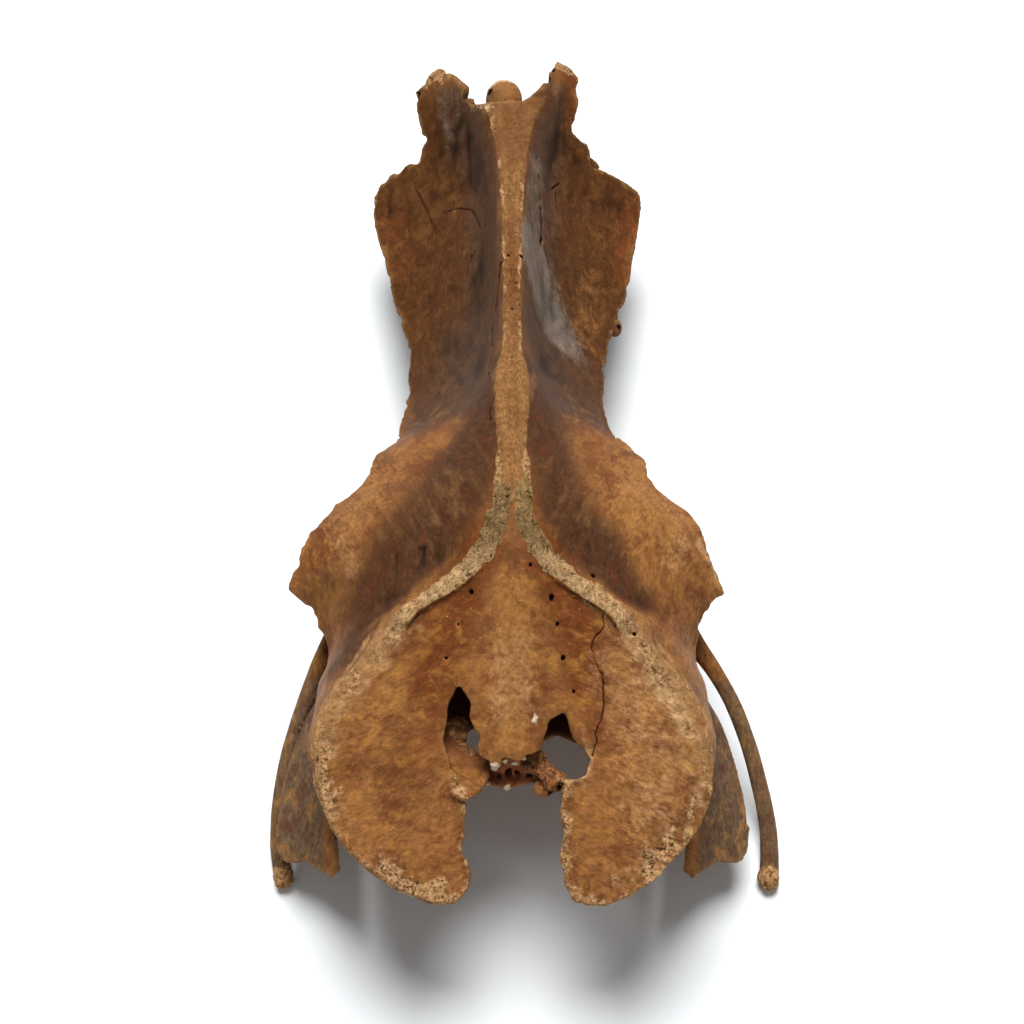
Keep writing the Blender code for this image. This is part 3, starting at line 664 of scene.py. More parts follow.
def add_sockets(bone):
    """Hip sockets: a thick ring open right through, the rim lumps and the root of the blades."""
    for side in (-1, 1):
        place = Matrix.Translation((side * SOCKET[0], SOCKET[1], SOCKET[2]))
        turn = Matrix.Rotation(math.radians(side * SOCKET_TOE), 4, "Z")
        turn = turn @ Matrix.Rotation(math.radians(90), 4, "Y")
        part = bmesh.new()
        bmesh.ops.create_circle(part, segments=RING_SIDES, radius=1, cap_ends=False)
        bmesh.ops.scale(part, vec=(*SOCKET_BAND, 1), verts=part.verts)
        bmesh.ops.rotate(part, verts=part.verts, cent=(0, 0, 0),
                         matrix=Matrix.Rotation(math.radians(90), 3, "X"))
        bmesh.ops.translate(part, verts=part.verts, vec=(SOCKET_RADIUS, 0, 0))
        bmesh.ops.spin(part, geom=part.verts[:] + part.edges[:], axis=(0, 0, 1), cent=(0, 0, 0),
                       angle=math.tau, steps=RING_STEPS, use_merge=True)
        bmesh.ops.transform(part, matrix=place @ turn, verts=part.verts)
        bmesh.ops.recalc_face_normals(part, faces=part.faces)
        add_solid(bone, part)

        rim = smooth_track(np.arange(len(HOOD_RIM)), HOOD_RIM)

        def hood(u, v):
            x, y, angle = rim(v * (len(HOOD_RIM) - 1))
            upper = Vector((side * x, y, roof_height(x, y) - ROOF_GAP))
            angle = math.radians(angle)
            around = Vector((-math.sin(angle), math.cos(angle), 0)) * SOCKET_RADIUS
            lower = place @ turn @ around
            return upper.lerp(lower, u)
        add_sheet(bone, HOOD_CELLS, hood, HOOD_THICKNESS)
        for (x, y, z), radii in SIDE_LUMPS:
            add_lump(bone, (side * x, y, z), radii)


def add_blades(bone):
    """The two pairs of limbs behind the sockets: thin blades above, slender rods outside."""
    edges = smooth_track([row[0] for row in ISCHIUM], [row[1:] for row in ISCHIUM])
    first = ISCHIUM[0][0]
    length = first - ISCHIUM[-1][0]
    for side in (-1, 1):
        def surface(u, v):
            y = first - v * length
            upper, lower = edges(y)
            x, z = upper * (1 - u) + lower * u
            return side * x, y, z
        outline = [(side * x, y) for x, y in ISCHIUM_END]
        add_sheet(bone, (BLADE_CELLS, int(length / CELL)), surface, BLADE_THICKNESS, outline)
        points = PUBIS_ROOT + (PUBIS_LEFT if side < 0 else PUBIS_RIGHT)
        line = [(side * x, y, z) for x, y, z, radius in points]
        radii = [radius for x, y, z, radius in points]
        add_rod(bone, line, radii, radii, cells=PUBIS_CELLS)


def add_tail(bone):
    """Broken end of the last vertebrae, hollow in the middle."""
    for thickness, height, across, along, outline in TAIL_SHELVES:
        corner_x, corner_y = outline[0]
        low = np.min(outline, axis=0)
        size = np.max(outline, axis=0) - low

        def surface(u, v):
            x, y = low + size * (u, v)
            return x, y, height + (x - corner_x) * across + (y - corner_y) * along
        cells = (int(size[0] / PLATE_CELL), int(size[1] / PLATE_CELL))
        add_sheet(bone, cells, surface, thickness, torn(outline, TAIL_BITE))
    radii = [TAIL_STRUT_RADIUS] * len(TAIL_STRUT)
    add_rod(bone, TAIL_STRUT, radii, radii)
    for line in TAIL_SEPTA:
        add_rod(bone, line, [SEPTUM_RADIUS] * 2, [SEPTUM_RADIUS] * 2)


def keep_largest_body(mesh):
    """Remove crumbs that broke off at the torn edges."""
    part = bmesh.new()
    part.from_mesh(mesh)
    left = set(part.verts)
    bodies = []
    while left:
        stack = [left.pop()]
        body = []
        while stack:
            vert = stack.pop()
            body.append(vert)
            for edge in vert.link_edges:
                other = edge.other_vert(vert)
                if other in left:
                    left.remove(other)
                    stack.append(other)
        bodies.append(body)
    bodies.sort(key=len)
    for body in bodies[:-1]:
        bmesh.ops.delete(part, geom=body, context="VERTS")
    part.to_mesh(mesh)
    part.free()


def read_points(mesh):
    """Vertex places in millimetres in the bone's own frame, and the normals."""
    places, normals = np.empty((2, len(mesh.vertices) * 3))
    mesh.vertices.foreach_get("co", places)
    mesh.vertex_normals.foreach_get("vector", normals)
    return places.reshape(-1, 3) / MM - MIDDLE, normals.reshape(-1, 3)


def write_points(mesh, points):
    """Move the vertices, inside the box of the CAD part."""
    places = np.clip((points + MIDDLE) * MM, *np.array(cad_box))
    mesh.vertices.foreach_set("co", places.ravel())
    mesh.update()


# Crest by y: x of its inner edge, its height, and x of its outer edge.
CREST_Y, *CREST = np.array([(row[0], *row[1], row[2][0]) for row in ROOF[::-1]], float).T

# Fibres: how far they fan out at each y, their turn on the plate in degrees, how little
# height counts, and a shift that makes the left half differ from the right.
GRAIN_FAN = ((-60, 20, 90, 200, 290), (70, 34, 11, 2, 0))
PLATE_GRAIN_TURN = 24
GRAIN_FLAT = 0.4
LEFT_GRAIN = 300
PORE_SIZE = 3.4
PORE_DEPTH = 1.3


def under_plate(points):
    """True for each point that lies below the back plate."""
    return points[:, 2] < plate_height(*points[:, :2].T) - UNDER_PLATE


def surface_places(points, normals):
    """Share of each kind of surface at each point: the crest, its arms, the plate, torn ends.

    The steps run from where a share is 0 to where it is 1, in millimetres.
    """
    x, y, z = np.abs(points[:, 0]), points[:, 1], points[:, 2]
    up = soft_step(0.15, 0.6, normals[:, 2])
    inner, top, outer = (np.interp(y, CREST_Y, track) for track in CREST)
    wave = swells(points, "borders") + swells(points, "arms") * soft_step(-30, -50, y)
    on_band = soft_step(1.2, -0.5, x - outer + wave) * soft_step(-1.2, 0.5, x - inner - wave)
    on_band *= soft_step(-9, -4, z - top) * up * soft_step(266, 259, y)
    arm = on_band * soft_step(-24, -40, y + wave * 5) * soft_step(-112, -100, y + wave * 4)
    band = (x - inner) / np.maximum(outer - inner, 1)
    crest = on_band * soft_step(-52, -30, y + wave * 5)
    sides = soft_step(0.5, 0.95, x / np.maximum(outer, 1) + wave * 0.2)
    broken = soft_step(0.0, 0.5, ripple(points, 15, 9) + soft_step(26, 10, np.abs(y - 132)) * 0.6)
    broken = np.maximum(broken * 0.8, soft_step(8, -22, y))
    rise = z - plate_height(x, y)
    over_plate = soft_step(-9, -5, rise) * (y < APEX_Y)
    behind = over_plate * soft_step(-98, -108, y)
    patchy = 0.35 + 0.65 * soft_step(-0.5, 0.35, swells(points, "patches"))
    rim_gap = line_distance(np.stack((x, y), axis=1), RIM_LINE[4:], 40) + wave * 3
    low_rim = soft_step(-178, -196, y - soft_step(0, -20, points[:, 0]) * 20)
    rim = soft_step(9 - low_rim, 1, rim_gap) * behind * patchy * (0.6 + 0.4 * low_rim)
    halo = soft_step(19, 3, rim_gap + ripple(points, 9, 12) * 4) * behind * (1 - 0.5 * low_rim)
    crumbled = soft_step(5, 1, line_distance(points, CRUMBLED, 14) + wave * 2)
    crumbled *= soft_step(-9, -5, rise) * up * soft_step(-0.5, 0.2, ripple(points, 5, 18))
    shard = soft_step(10, 6, line_distance(points, TAIL_STRUT, 14))
    shard = np.maximum(shard, soft_step(12, 8, line_distance(points, TAIL_SLAB, 16)) * 0.6)
    edge = line_distance(points, PLATE_OUTLINE, 9, True) / np.where(points[:, 0] > 0, 7.5, 5)
    far_back = over_plate * (0.4 + 0.6 * patchy) * soft_step(20, 24, x) * soft_step(-172, -180, y)
    wings = np.minimum(line_distance(points, LEFT_WING, 8), line_distance(points, RIGHT_WING, 8))
    return {
        "arm": arm, "crest": crest, "crest_sides": crest * sides * broken, "crumbled": crumbled,
        "arm_edge": arm * soft_step(0.34, 0.1, np.minimum(band, 1 - band)),
        "plate": over_plate * soft_step(1.0, -1.0, x - inner) * up, "rim": rim, "halo": halo,
        "plate_edge": soft_step(1, 0.15, edge + wave * 0.15) * far_back,
        "shard": shard * soft_step(0, -3, rise),
        "wing_edge": soft_step(1.9, 0.7, wings) * (y > -60) * (x > 8),
        "front_ends": soft_step(280, 290, y + wave * 4) * (z > 80),
        "pubis_tips": soft_step(-184, -194, y + wave * 2) * soft_step(122, 127, x) * (z < 24),
        "blade_ends": soft_step(-198, -203, y) * soft_step(92, 84, x) * (z < 90) * (z > 20),
        "behind": behind, "low_rim": low_rim, "up": up,
    }


# How spongy each kind of surface is, and how much its pits show, carved and painted dark with
# shade and the darker bone inside: on the arms and, on top of that, at their edges; on the rim
# and, on top of that, round the lobes' ends.
SPONGY = {
    "arm": 1, "crumbled": 1, "crest_sides": 1, "rim": 1, "front_ends": 1, "pubis_tips": 1,
    "blade_ends": 1, "plate_edge": 0.8, "shard": 0.7, "wing_edge": 0.3,
}
PITTED = {
    "crest_sides": 0.9, "crumbled": 0.35, "shard": 1, "front_ends": 0.6, "pubis_tips": 1,
    "blade_ends": 1, "plate_edge": 0.6,
}
ARM_PITS = (0.25, 0.6)
RIM_PITS = (0.3, 0.7)


def most(place, shares):
    """The largest of the named places, each times its share."""
    return np.max([place[name] * share for name, share in shares.items()], axis=0)


def pitted_share(place):
    arm = place["arm"] * ARM_PITS[0] + place["arm_edge"] * ARM_PITS[1]
    rim = place["rim"] * (RIM_PITS[0] + RIM_PITS[1] * place["low_rim"])
    return np.max((arm, rim, most(place, PITTED)), axis=0)


def grain_places(points, arm):
    """Coordinates across and along the bone's fibres: they fan out on the roof, slant on the
    plate and follow the arms."""
    x, y, flat_z = np.abs(points[:, 0]), points[:, 1], points[:, 2] * GRAIN_FLAT
    fan = np.interp(y, *GRAIN_FAN)
    roof = np.stack((x + fan, y, flat_z), axis=1)
    turn = math.radians(PLATE_GRAIN_TURN)
    along = -x * math.cos(turn) + y * math.sin(turn)
    across = x * math.sin(turn) + y * math.cos(turn)
    plate = np.stack((across, along, flat_z), axis=1)
    slant = np.stack(((x + y) * 0.7, (x - y) * 0.7, flat_z), axis=1)
    behind = (y < APEX_Y) & (x < np.interp(y, CREST_Y, CREST[2]) + 1)
    grain = np.where(behind[:, None], plate, roof)
    grain = np.where((arm > 0.02)[:, None], slant, grain)
    return grain + np.where(points[:, :1] < 0, LEFT_GRAIN, 0)


def carve_relief(mesh):
    """Level the plate into its rim, then carve the pores, fibres and swells."""
    points, normals = read_points(mesh)
    place = surface_places(points, normals)
    x, y = np.abs(points[:, 0]), points[:, 1]
    lift = plate_height(x, y) + PLATE_THICKNESS / 2 - points[:, 2]
    level = soft_step(4.5, 2.0, np.abs(lift)) * place["up"] * soft_step(-90, -104, y)
    points[:, 2] += lift * level * place["behind"]
    spongy = most(place, SPONGY)
    depth = np.zeros(len(points))

    soft = spongy > 0.03
    chosen = points[soft]
    pits = pores(chosen, PORE_SIZE, 21) * PORE_DEPTH * pitted_share(place)[soft]
    crumbs = swells(chosen, "crumbs")
    depth[soft] += spongy[soft] * (pits + crumbs + ripple(chosen, 7.0, 42) * 0.3)

    grain = grain_places(points, place["arm"])
    fibres = ripple(grain * (1 / 2.2, 1 / 14, 1 / 6), 1.0, 51) * 0.16
    fibres += ripple(grain * (1 / 4.6, 1 / 26, 1 / 9), 1.0, 52) * 0.3
    fibres *= place["up"] * (1 - place["plate"]) * (1 - place["crest"])
    depth += (1 - spongy) * fibres + (1 - place["crest"]) * swells(points, "walls") * 0.6
    depth += place["shard"] * swells(points, "shard")
    write_points(mesh, points - normals * depth[:, None])


def flat_distance(points, line, reach):
    """Distance to a line of corners in which height counts less."""
    scale = (1, 1, HOLLOW_FLAT)
    return line_distance(points * scale, np.array(line) * scale, reach)


def slit_shares(points, normals):
    """How deep each point lies in a crack, a slit or a hole, and how dark it is painted there with
    shade.
    """
    ragged = swells(points, "slits")
    upper = soft_step(-0.2, 0.1, normals[:, 2])
    # dark: how strongly each slit, hollow, crack and hole is painted with shade.
    deep, dark = np.zeros(len(points)), np.zeros(len(points))
    for wide, depth, shade, line in ROOF_SLITS:
        gap = flat_distance(points, line, wide + 2) + ragged * wide * 0.6
        share = soft_step(wide, wide * 0.3, gap) * upper
        deep += share * depth
        dark = np.maximum(dark, share * shade)
    for *middle, radius in BROKEN_HOLLOWS:
        gap = flat_distance(points, (middle,), radius + 2) + ragged
        share = soft_step(radius, radius * 0.4, gap) * upper
        deep += share * radius * 0.7
        dark = np.maximum(dark, share)
    over = soft_step(0.1, 0.5, normals[:, 2]) * ~under_plate(points)
    wander = np.stack((ripple(points, 3.5, 74), ripple(points, 3.5, 75)), axis=1) * 0.8
    crack = line_distance(points[:, :2] + wander, PLATE_CRACK, 4) + ragged * 0.15
    share = soft_step(CRACK_WIDTH, 0.15, crack) * over
    deep += share * CRACK_DEPTH
    dark = np.maximum(dark, share * (0.6 + 0.35 * ripple(points, 8.0, 76)))
    for x, y, radius in NERVE_HOLES:
        gap = line_distance(points[:, :2] * (1, 0.8), ((x, y * 0.8),), radius + 3)
        share = soft_step(radius + 0.2, radius * 0.4, gap + ragged * radius * 0.4) * over
        deep += share * HOLE_DEPTH * min(radius, 1)
        dark = np.maximum(dark, share * 0.85)
    return deep, dark


def feature_distance(points, reach=8):
    """Distance from each point to the nearest crack, slit, hole or hollow."""
    gaps = [line_distance(points, ((x, y),), reach) - radius for x, y, radius in NERVE_HOLES]
    gaps += [line_distance(points, PLATE_CRACK, reach), line_distance(points, PALE_CHIP, reach) - 1]
    gaps = [gap + under_plate(points) * FAR for gap in gaps]
    gaps += [flat_distance(points, line, reach) - wide for wide, depth, shade, line in ROOF_SLITS]
    gaps += [flat_distance(points, (middle,), reach) - radius for *middle, radius in BROKEN_HOLLOWS]
    return np.min(gaps, axis=0)


def refined(mesh):
    """Draw the mesh finer round the crack, the slits and the holes, and cut them; return how dark
    they are painted with shade.
    """
    part = bmesh.new()
    part.from_mesh(mesh)
    for reach in FINE_REACHES:
        part.to_mesh(mesh)
        points, normals = read_points(mesh)
        near = (feature_distance(points) < reach) & (normals[:, 2] > -0.2)
        part.verts.ensure_lookup_table()
        long = [edge for edge in part.edges if any(near[vert.index] for vert in edge.verts)
                and edge.calc_length() > FINE_EDGE * MM]
        bmesh.ops.subdivide_edges(part, edges=long, cuts=1)
        bmesh.ops.triangulate(part, faces=[face for face in part.faces if len(face.verts) > 3])
        part.verts.index_update()
    part.to_mesh(mesh)
    part.free()
    points, normals = read_points(mesh)
    deep, dark = slit_shares(points, normals)
    write_points(mesh, points - normals * deep[:, None])
    return dark


# Colours of the stains in the order in which they are laid on, and of the inside with their
# strength; inner and deep are painted shade below the plate, cavity the red-brown of the broken
# tail: red, green and blue on the screen, 0 to 255.
STAIN_COLOURS = {
    "umber": (88, 54, 30), "red": (116, 64, 33), "ochre": (158, 107, 59), "dark": (84, 54, 36),
    "plum": (88, 61, 43), "pale": (180, 138, 97), "bleached": (206, 168, 122),
    # The grey stain also stands for painted sheen.
    "grey_and_sheen": (126, 110, 97), "limb": (102, 81, 63),
}
INSIDE_SHADE_AND_COLOURS = (
    ("inner", 0.8, (126, 78, 44)), ("deep", 0.8, (66, 38, 24)), ("cavity", 0.85, (140, 80, 50)),
)
BONE_IOR = 1.09
BUMP_HEIGHT = 0.0009

# Heights below which the limbs' stain lies and above which the pale ones do, then the rounds
# and the depth with which hollows are measured for the painted shade in them.
LIMB_TOP = 96
PALE_BOTTOM = 60
HOLLOW_ROUNDS = 6
HOLLOW_DEPTH = 1.1

# Stains of the bone seen from above, by colour: the line that each follows, its reach and
# strength. Both halves get those of the first table; each of the second is for one place.
PAIRED_STAINS = {
    "umber": (
        (((66, 240), (64, 180), (56, 120)), 46, 1.0), (((30, 250), (30, 90)), 36, 1.0),
        (((34, 66), (44, 44)), 26, 1.0),
    ),
    "plum": (
        (((26, 268), (22, 225), (19, 170), (17, 120), (18, 84)), 12, 0.7),
        (((17, 88), (22, 60), (26, 34)), 12, 0.9), (((50, -54),), 14, 0.7),
        (((0, -54), (0, -74)), 8, 0.35),
    ),
    "dark": (
        (((13, 44), (17, 4), (25, -34), (44, -62)), 20, 0.9), (((44, -62), (70, -84)), 13, 0.85),
    ),
    "red": (
        (((74, 214), (70, 170)), 16, 0.35), (((46, 20), (52, -12)), 16, 0.4),
        (((110, -48), (104, -30)), 9, 0.5),
        (((18, -66), (28, -88), (37, -108), (42, -130)), 17, 0.9),
        (((44, -132), (46, -160)), 14, 0.45),
    ),
    "ochre": (
        (((80, -6), (92, -34)), 20, 0.6), (((0, -92), (0, -160)), 13, 0.85),
        (((66, -134), (74, -150)), 12, 0.6),
    ),
    "pale": ((((4, -112), (6, -150)), 9, 0.4), (((96, -40), (88, -60)), 9, 0.35)),
}
SINGLE_STAINS = {
    # Grey streaks on the right roof beside the crest: grey stain and painted sheen.
    "grey_and_sheen": (
        (((13, 152), (19, 130), (26, 114), (31, 102)), 11, 0.9),
        (((11, 148), (13, 132), (18, 116), (24, 100)), 8, 0.85), (((15, 215), (14, 165)), 6, 0.5),
        (((28, 108), (38, 92)), 14, 0.3), (((-40, 276), (-36, 250)), 12, 0.28),
        (((-106, -100), (-108, -124)), 7, 0.4),
    ),
    "umber": (
        (((-66, 235), (-62, 180), (-58, 120)), 34, 0.9), (((-98, -30), (-104, -60)), 20, 0.6),
    ),
    "plum": ((((-38, 110), (-30, 70)), 16, 0.5), (((-40, 272), (-34, 238)), 13, 0.6)),
    "ochre": (
        (((58, 196), (50, 160)), 12, 0.2), (((48, 150), (42, 112)), 13, 0.35),
        (((76, -4), (70, -34)), 24, 0.8), (((60, -180), (66, -206)), 16, 0.6),
        (((-66, -204), (-50, -222)), 14, 0.4), (((104, -90), (107, -122)), 9, 0.7),
        (((84, -92), (92, -76)), 12, 0.4),
    ),
    "chip": (
        (PALE_CHIP, 1.6, 1.0), (((-25, 257), (-11, 252)), 5, 0.5),
        (((-15, 275), (-7, 279.5), (4, 279)), 2.6, 0.9),
    ),
    "red": (
        (((-84, -20), (-92, -44)), 20, 0.45), (((-60, -176),), 16, 0.4),
        (((80, 214), (74, 176)), 14, 0.4), (((38, 284), (38, 262)), 11, 0.7),
        (((17, -172),), 10, 0.9),
    ),
    "dark": (
        (((-34, -14), (-58, -44), (-78, -72)), 22, 0.75), (((-98, -190),), 5, 0.7),
        (((96, -195), (84, -206)), 4, 0.6), (((-72, -86), (-92, -112)), 15, 0.85),
        (((-105, -168), (-99, -196)), 5, 0.5), (((64, 131),), 6, 1.0),
        (((22, -46), (42, -66), (60, -82)), 8, 0.8),
    ),
    "bleached": ((CRUMBLED, 6, 0.8), (((-52, -95), (-64, -104)), 4, 0.5)),
    "pale": (
        (((-66, -106), (-92, -138)), 7, 0.5), (((58, -128), (78, -164), (74, -192)), 26, 0.4),
        (((-60, 284), (-46, 293)), 3, 0.7), (((24, 291), (33, 290)), 3, 0.7),
        (((41, -162), (42, -170), (39, -178), (29, -180)), 2.6, 0.9),
        (((104, -36), (111, -48), (116, -60)), 3, 0.6),
    ),
    "bare": ((((0, 148), (0, 98)), 12, 1.0), (((0, 255), (0, 240)), 8, 0.3)),
}


def stain_shares(points, place):
    shares = {name: np.zeros(len(points)) for name in ("chip", "bare", *STAIN_COLOURS)}
    x, y, z = np.abs(points[:, 0]), points[:, 1], points[:, 2]
    mirrored = np.stack((x, y), axis=1)
    for stains, spots in ((PAIRED_STAINS, mirrored), (SINGLE_STAINS, points)):
        for name, blots in stains.items():
            for line, reach, strength in blots:
                gap = line_distance(spots, line, reach * 2) / reach
                blot = strength * np.exp(-1.4 * gap ** 2.4)
                shares[name] = 1 - (1 - shares[name]) * (1 - blot)
    shares["dark"] *= 1 - place["plate"] * (1 - place["low_rim"])
    shares["limb"] = soft_step(100, 112, x) * soft_step(-84, -100, y) * (z < LIMB_TOP)
    for name in ("chip", "pale", "bleached"):
        shares[name] *= np.sqrt(place["up"]) * (z > PALE_BOTTOM)
    shares["grey_and_sheen"] *= soft_step(84, 92, z)
    for middle, radii in WHITE_LUMPS:
        gap = line_distance(points, (middle,), max(radii) * 2) / max(radii)
        shares["chip"] = np.maximum(shares["chip"], soft_step(1.25, 0.7, gap))
    return shares


def hollow_share(mesh, points, normals):
    """How deep each point lies between its neighbours, from 1 in a pit to -1 on a bump."""
    links = np.empty(len(mesh.edges) * 2, int)
    mesh.edges.foreach_get("vertices", links)
    a, b = links.reshape(-1, 2).T
    mean = points.copy()
    for _ in range(HOLLOW_ROUNDS):
        total = np.zeros_like(points)
        count = np.zeros(len(points))
        for i, j in ((a, b), (b, a)):
            for n in range(3):
                total[:, n] += np.bincount(i, mean[j, n], len(points))
            count += np.bincount(i, minlength=len(points))
        mean = total / np.maximum(count, 1)[:, None]
    return np.clip(((mean - points) * normals).sum(1) / HOLLOW_DEPTH, -1, 1)


def keep_mark(mesh, name, values):
    layer = mesh.attributes.new(name, "FLOAT", "POINT")
    layer.data.foreach_set("value", values.astype(np.float32))


def mark_surface(mesh):
    """Keep on the mesh what the finish reads: kinds of surface, hollows and the underside that it
    paints with shade, stains and fibres.
    """
    points, normals = read_points(mesh)
    place = surface_places(points, normals)
    x, y = np.abs(points[:, 0]), points[:, 1]
    # Below the plate near the midline the finish paints shade: inner, and deep, darker further in
    # under the plate and on the midline. Cavity marks the red-brown inside the broken tail.
    below = soft_step(-5, -11, points[:, 2] - plate_height(points[:, 0], y))
    inner = below * soft_step(56, 46, x) * soft_step(-112, -124, y)
    midline = soft_step(14, 10, x)
    marks = {"inner": inner, "deep": inner * np.maximum(soft_step(-178, -146, y), midline),
             "cavity": inner * soft_step(-162, -168, y) * midline,
             "middle": soft_step(30, 12, x), "arm_end": soft_step(-58, -84, y),
             "wing": soft_step(10, 70, y), "front": soft_step(175, 235, y),
             "spongy": most(place, SPONGY), "pit_dark_and_shade": pitted_share(place),
             "hollow": hollow_share(mesh, points, normals)}
    marks.update({name: place[name] for name in ("crest", "arm", "halo", "plate", "shard")})
    marks.update(stain_shares(points, place))
    for name, values in marks.items():
        keep_mark(mesh, name, values)
    layer = mesh.attributes.new("grain", "FLOAT_VECTOR", "POINT")
    layer.data.foreach_set("vector", grain_places(points, place["arm"]).astype(np.float32).ravel())


def thinned(mesh, triangles):
    """The mesh with about so many triangles."""
    ratio = triangles / sum(len(face.vertices) - 2 for face in mesh.polygons)
    return with_modifier(mesh, "DECIMATE", ratio=ratio, use_collapse_triangulate=True)


def make_bone():
    bone = bmesh.new()
    for add in (add_roof, add_plate, add_vertebrae, add_sockets, add_blades, add_tail):
        add(bone)
    for middle, radii in MIDLINE_LUMPS + LOOSE_LUMPS + WHITE_LUMPS:
        add_lump(bone, middle, radii)
    mesh = as_mesh(bone)
    mesh.transform(SETTLE)
    mesh = with_modifier(mesh, "REMESH", mode="VOXEL", voxel_size=VOXEL * MM)
    keep_largest_body(mesh)
    mesh = with_modifier(mesh, "SMOOTH", iterations=SMOOTH_ROUNDS)
    carve_relief(mesh)
    mesh = thinned(mesh, TRIANGLES)
    # How dark the painted shade in slits, cracks and holes is.
    keep_mark(mesh, "slit", refined(mesh))
    mesh = thinned(mesh, MOST_TRIANGLES)
    mark_surface(mesh)
    mesh.shade_smooth()
    mesh.name = "old_bone"
    return placed("moa_pelvis_bone", mesh)


def linear(*screen):
    """Colour from its red, green and blue on the screen, 0 to 255."""
    shares = [value / 255 for value in screen]
    return *(s / 12.92 if s <= 0.04045 else ((s + 0.055) / 1.055) ** 2.4 for s in shares), 1


class Value:
    """Output of a shader node; sums, differences and products of values make math nodes."""

    def __init__(self, nodes, socket):
        self.nodes = nodes
        self.socket = socket

    def __add__(self, other):
        return self.nodes.math("ADD", self, other)

    def __sub__(self, other):
        return self.nodes.math("SUBTRACT", self, other)

    def __rsub__(self, other):
        return self.nodes.math("SUBTRACT", other, self)

    def __mul__(self, other):
        return self.nodes.math("MULTIPLY", self, other)

    def ramp(self, low, high, to_low=0.0, to_high=1.0):
        """Smooth change from to_low, where this value is low, to to_high, where it is high."""
        inputs = {"Value": self, "From Min": low, "From Max": high, "To Min": to_low,
                  "To Max": to_high}
        return self.nodes.add("ShaderNodeMapRange", 0, inputs, interpolation_type="SMOOTHSTEP")


class Nodes:
    """Short ways to add and join the shader nodes of one material."""

    def __init__(self, material):
        material.use_nodes = True
        self.tree = material.node_tree
        self.shader = self.tree.nodes["Principled BSDF"]

    def put(self, value, socket):
        if isinstance(value, Value):
            self.tree.links.new(value.socket, socket)
        else:
            socket.default_value = value

    def add(self, kind, output, inputs, **settings):
        """One output of a new node, whose inputs are numbers, colours or values."""
        node = self.tree.nodes.new(kind)
        for name, value in settings.items():
            setattr(node, name, value)
        for name, value in inputs.items():
            self.put(value, node.inputs[name])
        return Value(self, node.outputs[output])

    def math(self, kind, a, b=0.0, clamp=False):
        return self.add("ShaderNodeMath", 0, {0: a, 1: b}, operation=kind, use_clamp=clamp)

    def mark(self, name, output="Fac"):
        return self.add("ShaderNodeAttribute", output, {}, attribute_name=name)

    def scaled(self, vector, *scale):
        return self.add("ShaderNodeMapping", 0, {"Vector": vector, "Scale": scale})

    def noise(self, vector, scale, detail, roughness, output="Fac"):
        inputs = {"Vector": vector, "Scale": scale, "Detail": detail, "Roughness": roughness}
        return self.add("ShaderNodeTexNoise", output, inputs)

    def bent(self, vector, place, scale, amount):
        """Coordinates pushed about by noise, so that what follows them wanders."""
        push = self.noise(place, scale, 2, 0.5, "Color")
        inputs = {0: push, 1: (amount, amount, amount), 2: vector}
        return self.add("ShaderNodeVectorMath", 0, inputs, operation="MULTIPLY_ADD")

    def mix(self, share, a, b):
        """Colour a where the share is 0 and b where it is 1; each a value or screen colour."""
        a, b = (linear(*tone) if isinstance(tone, tuple) else tone for tone in (a, b))
        return self.add("ShaderNodeMix", 2, {0: share, 6: a, 7: b}, data_type="RGBA")


def between(share, a, b):
    """Value a where the share is 0 and b where it is 1."""
    return a + share * (b - a)


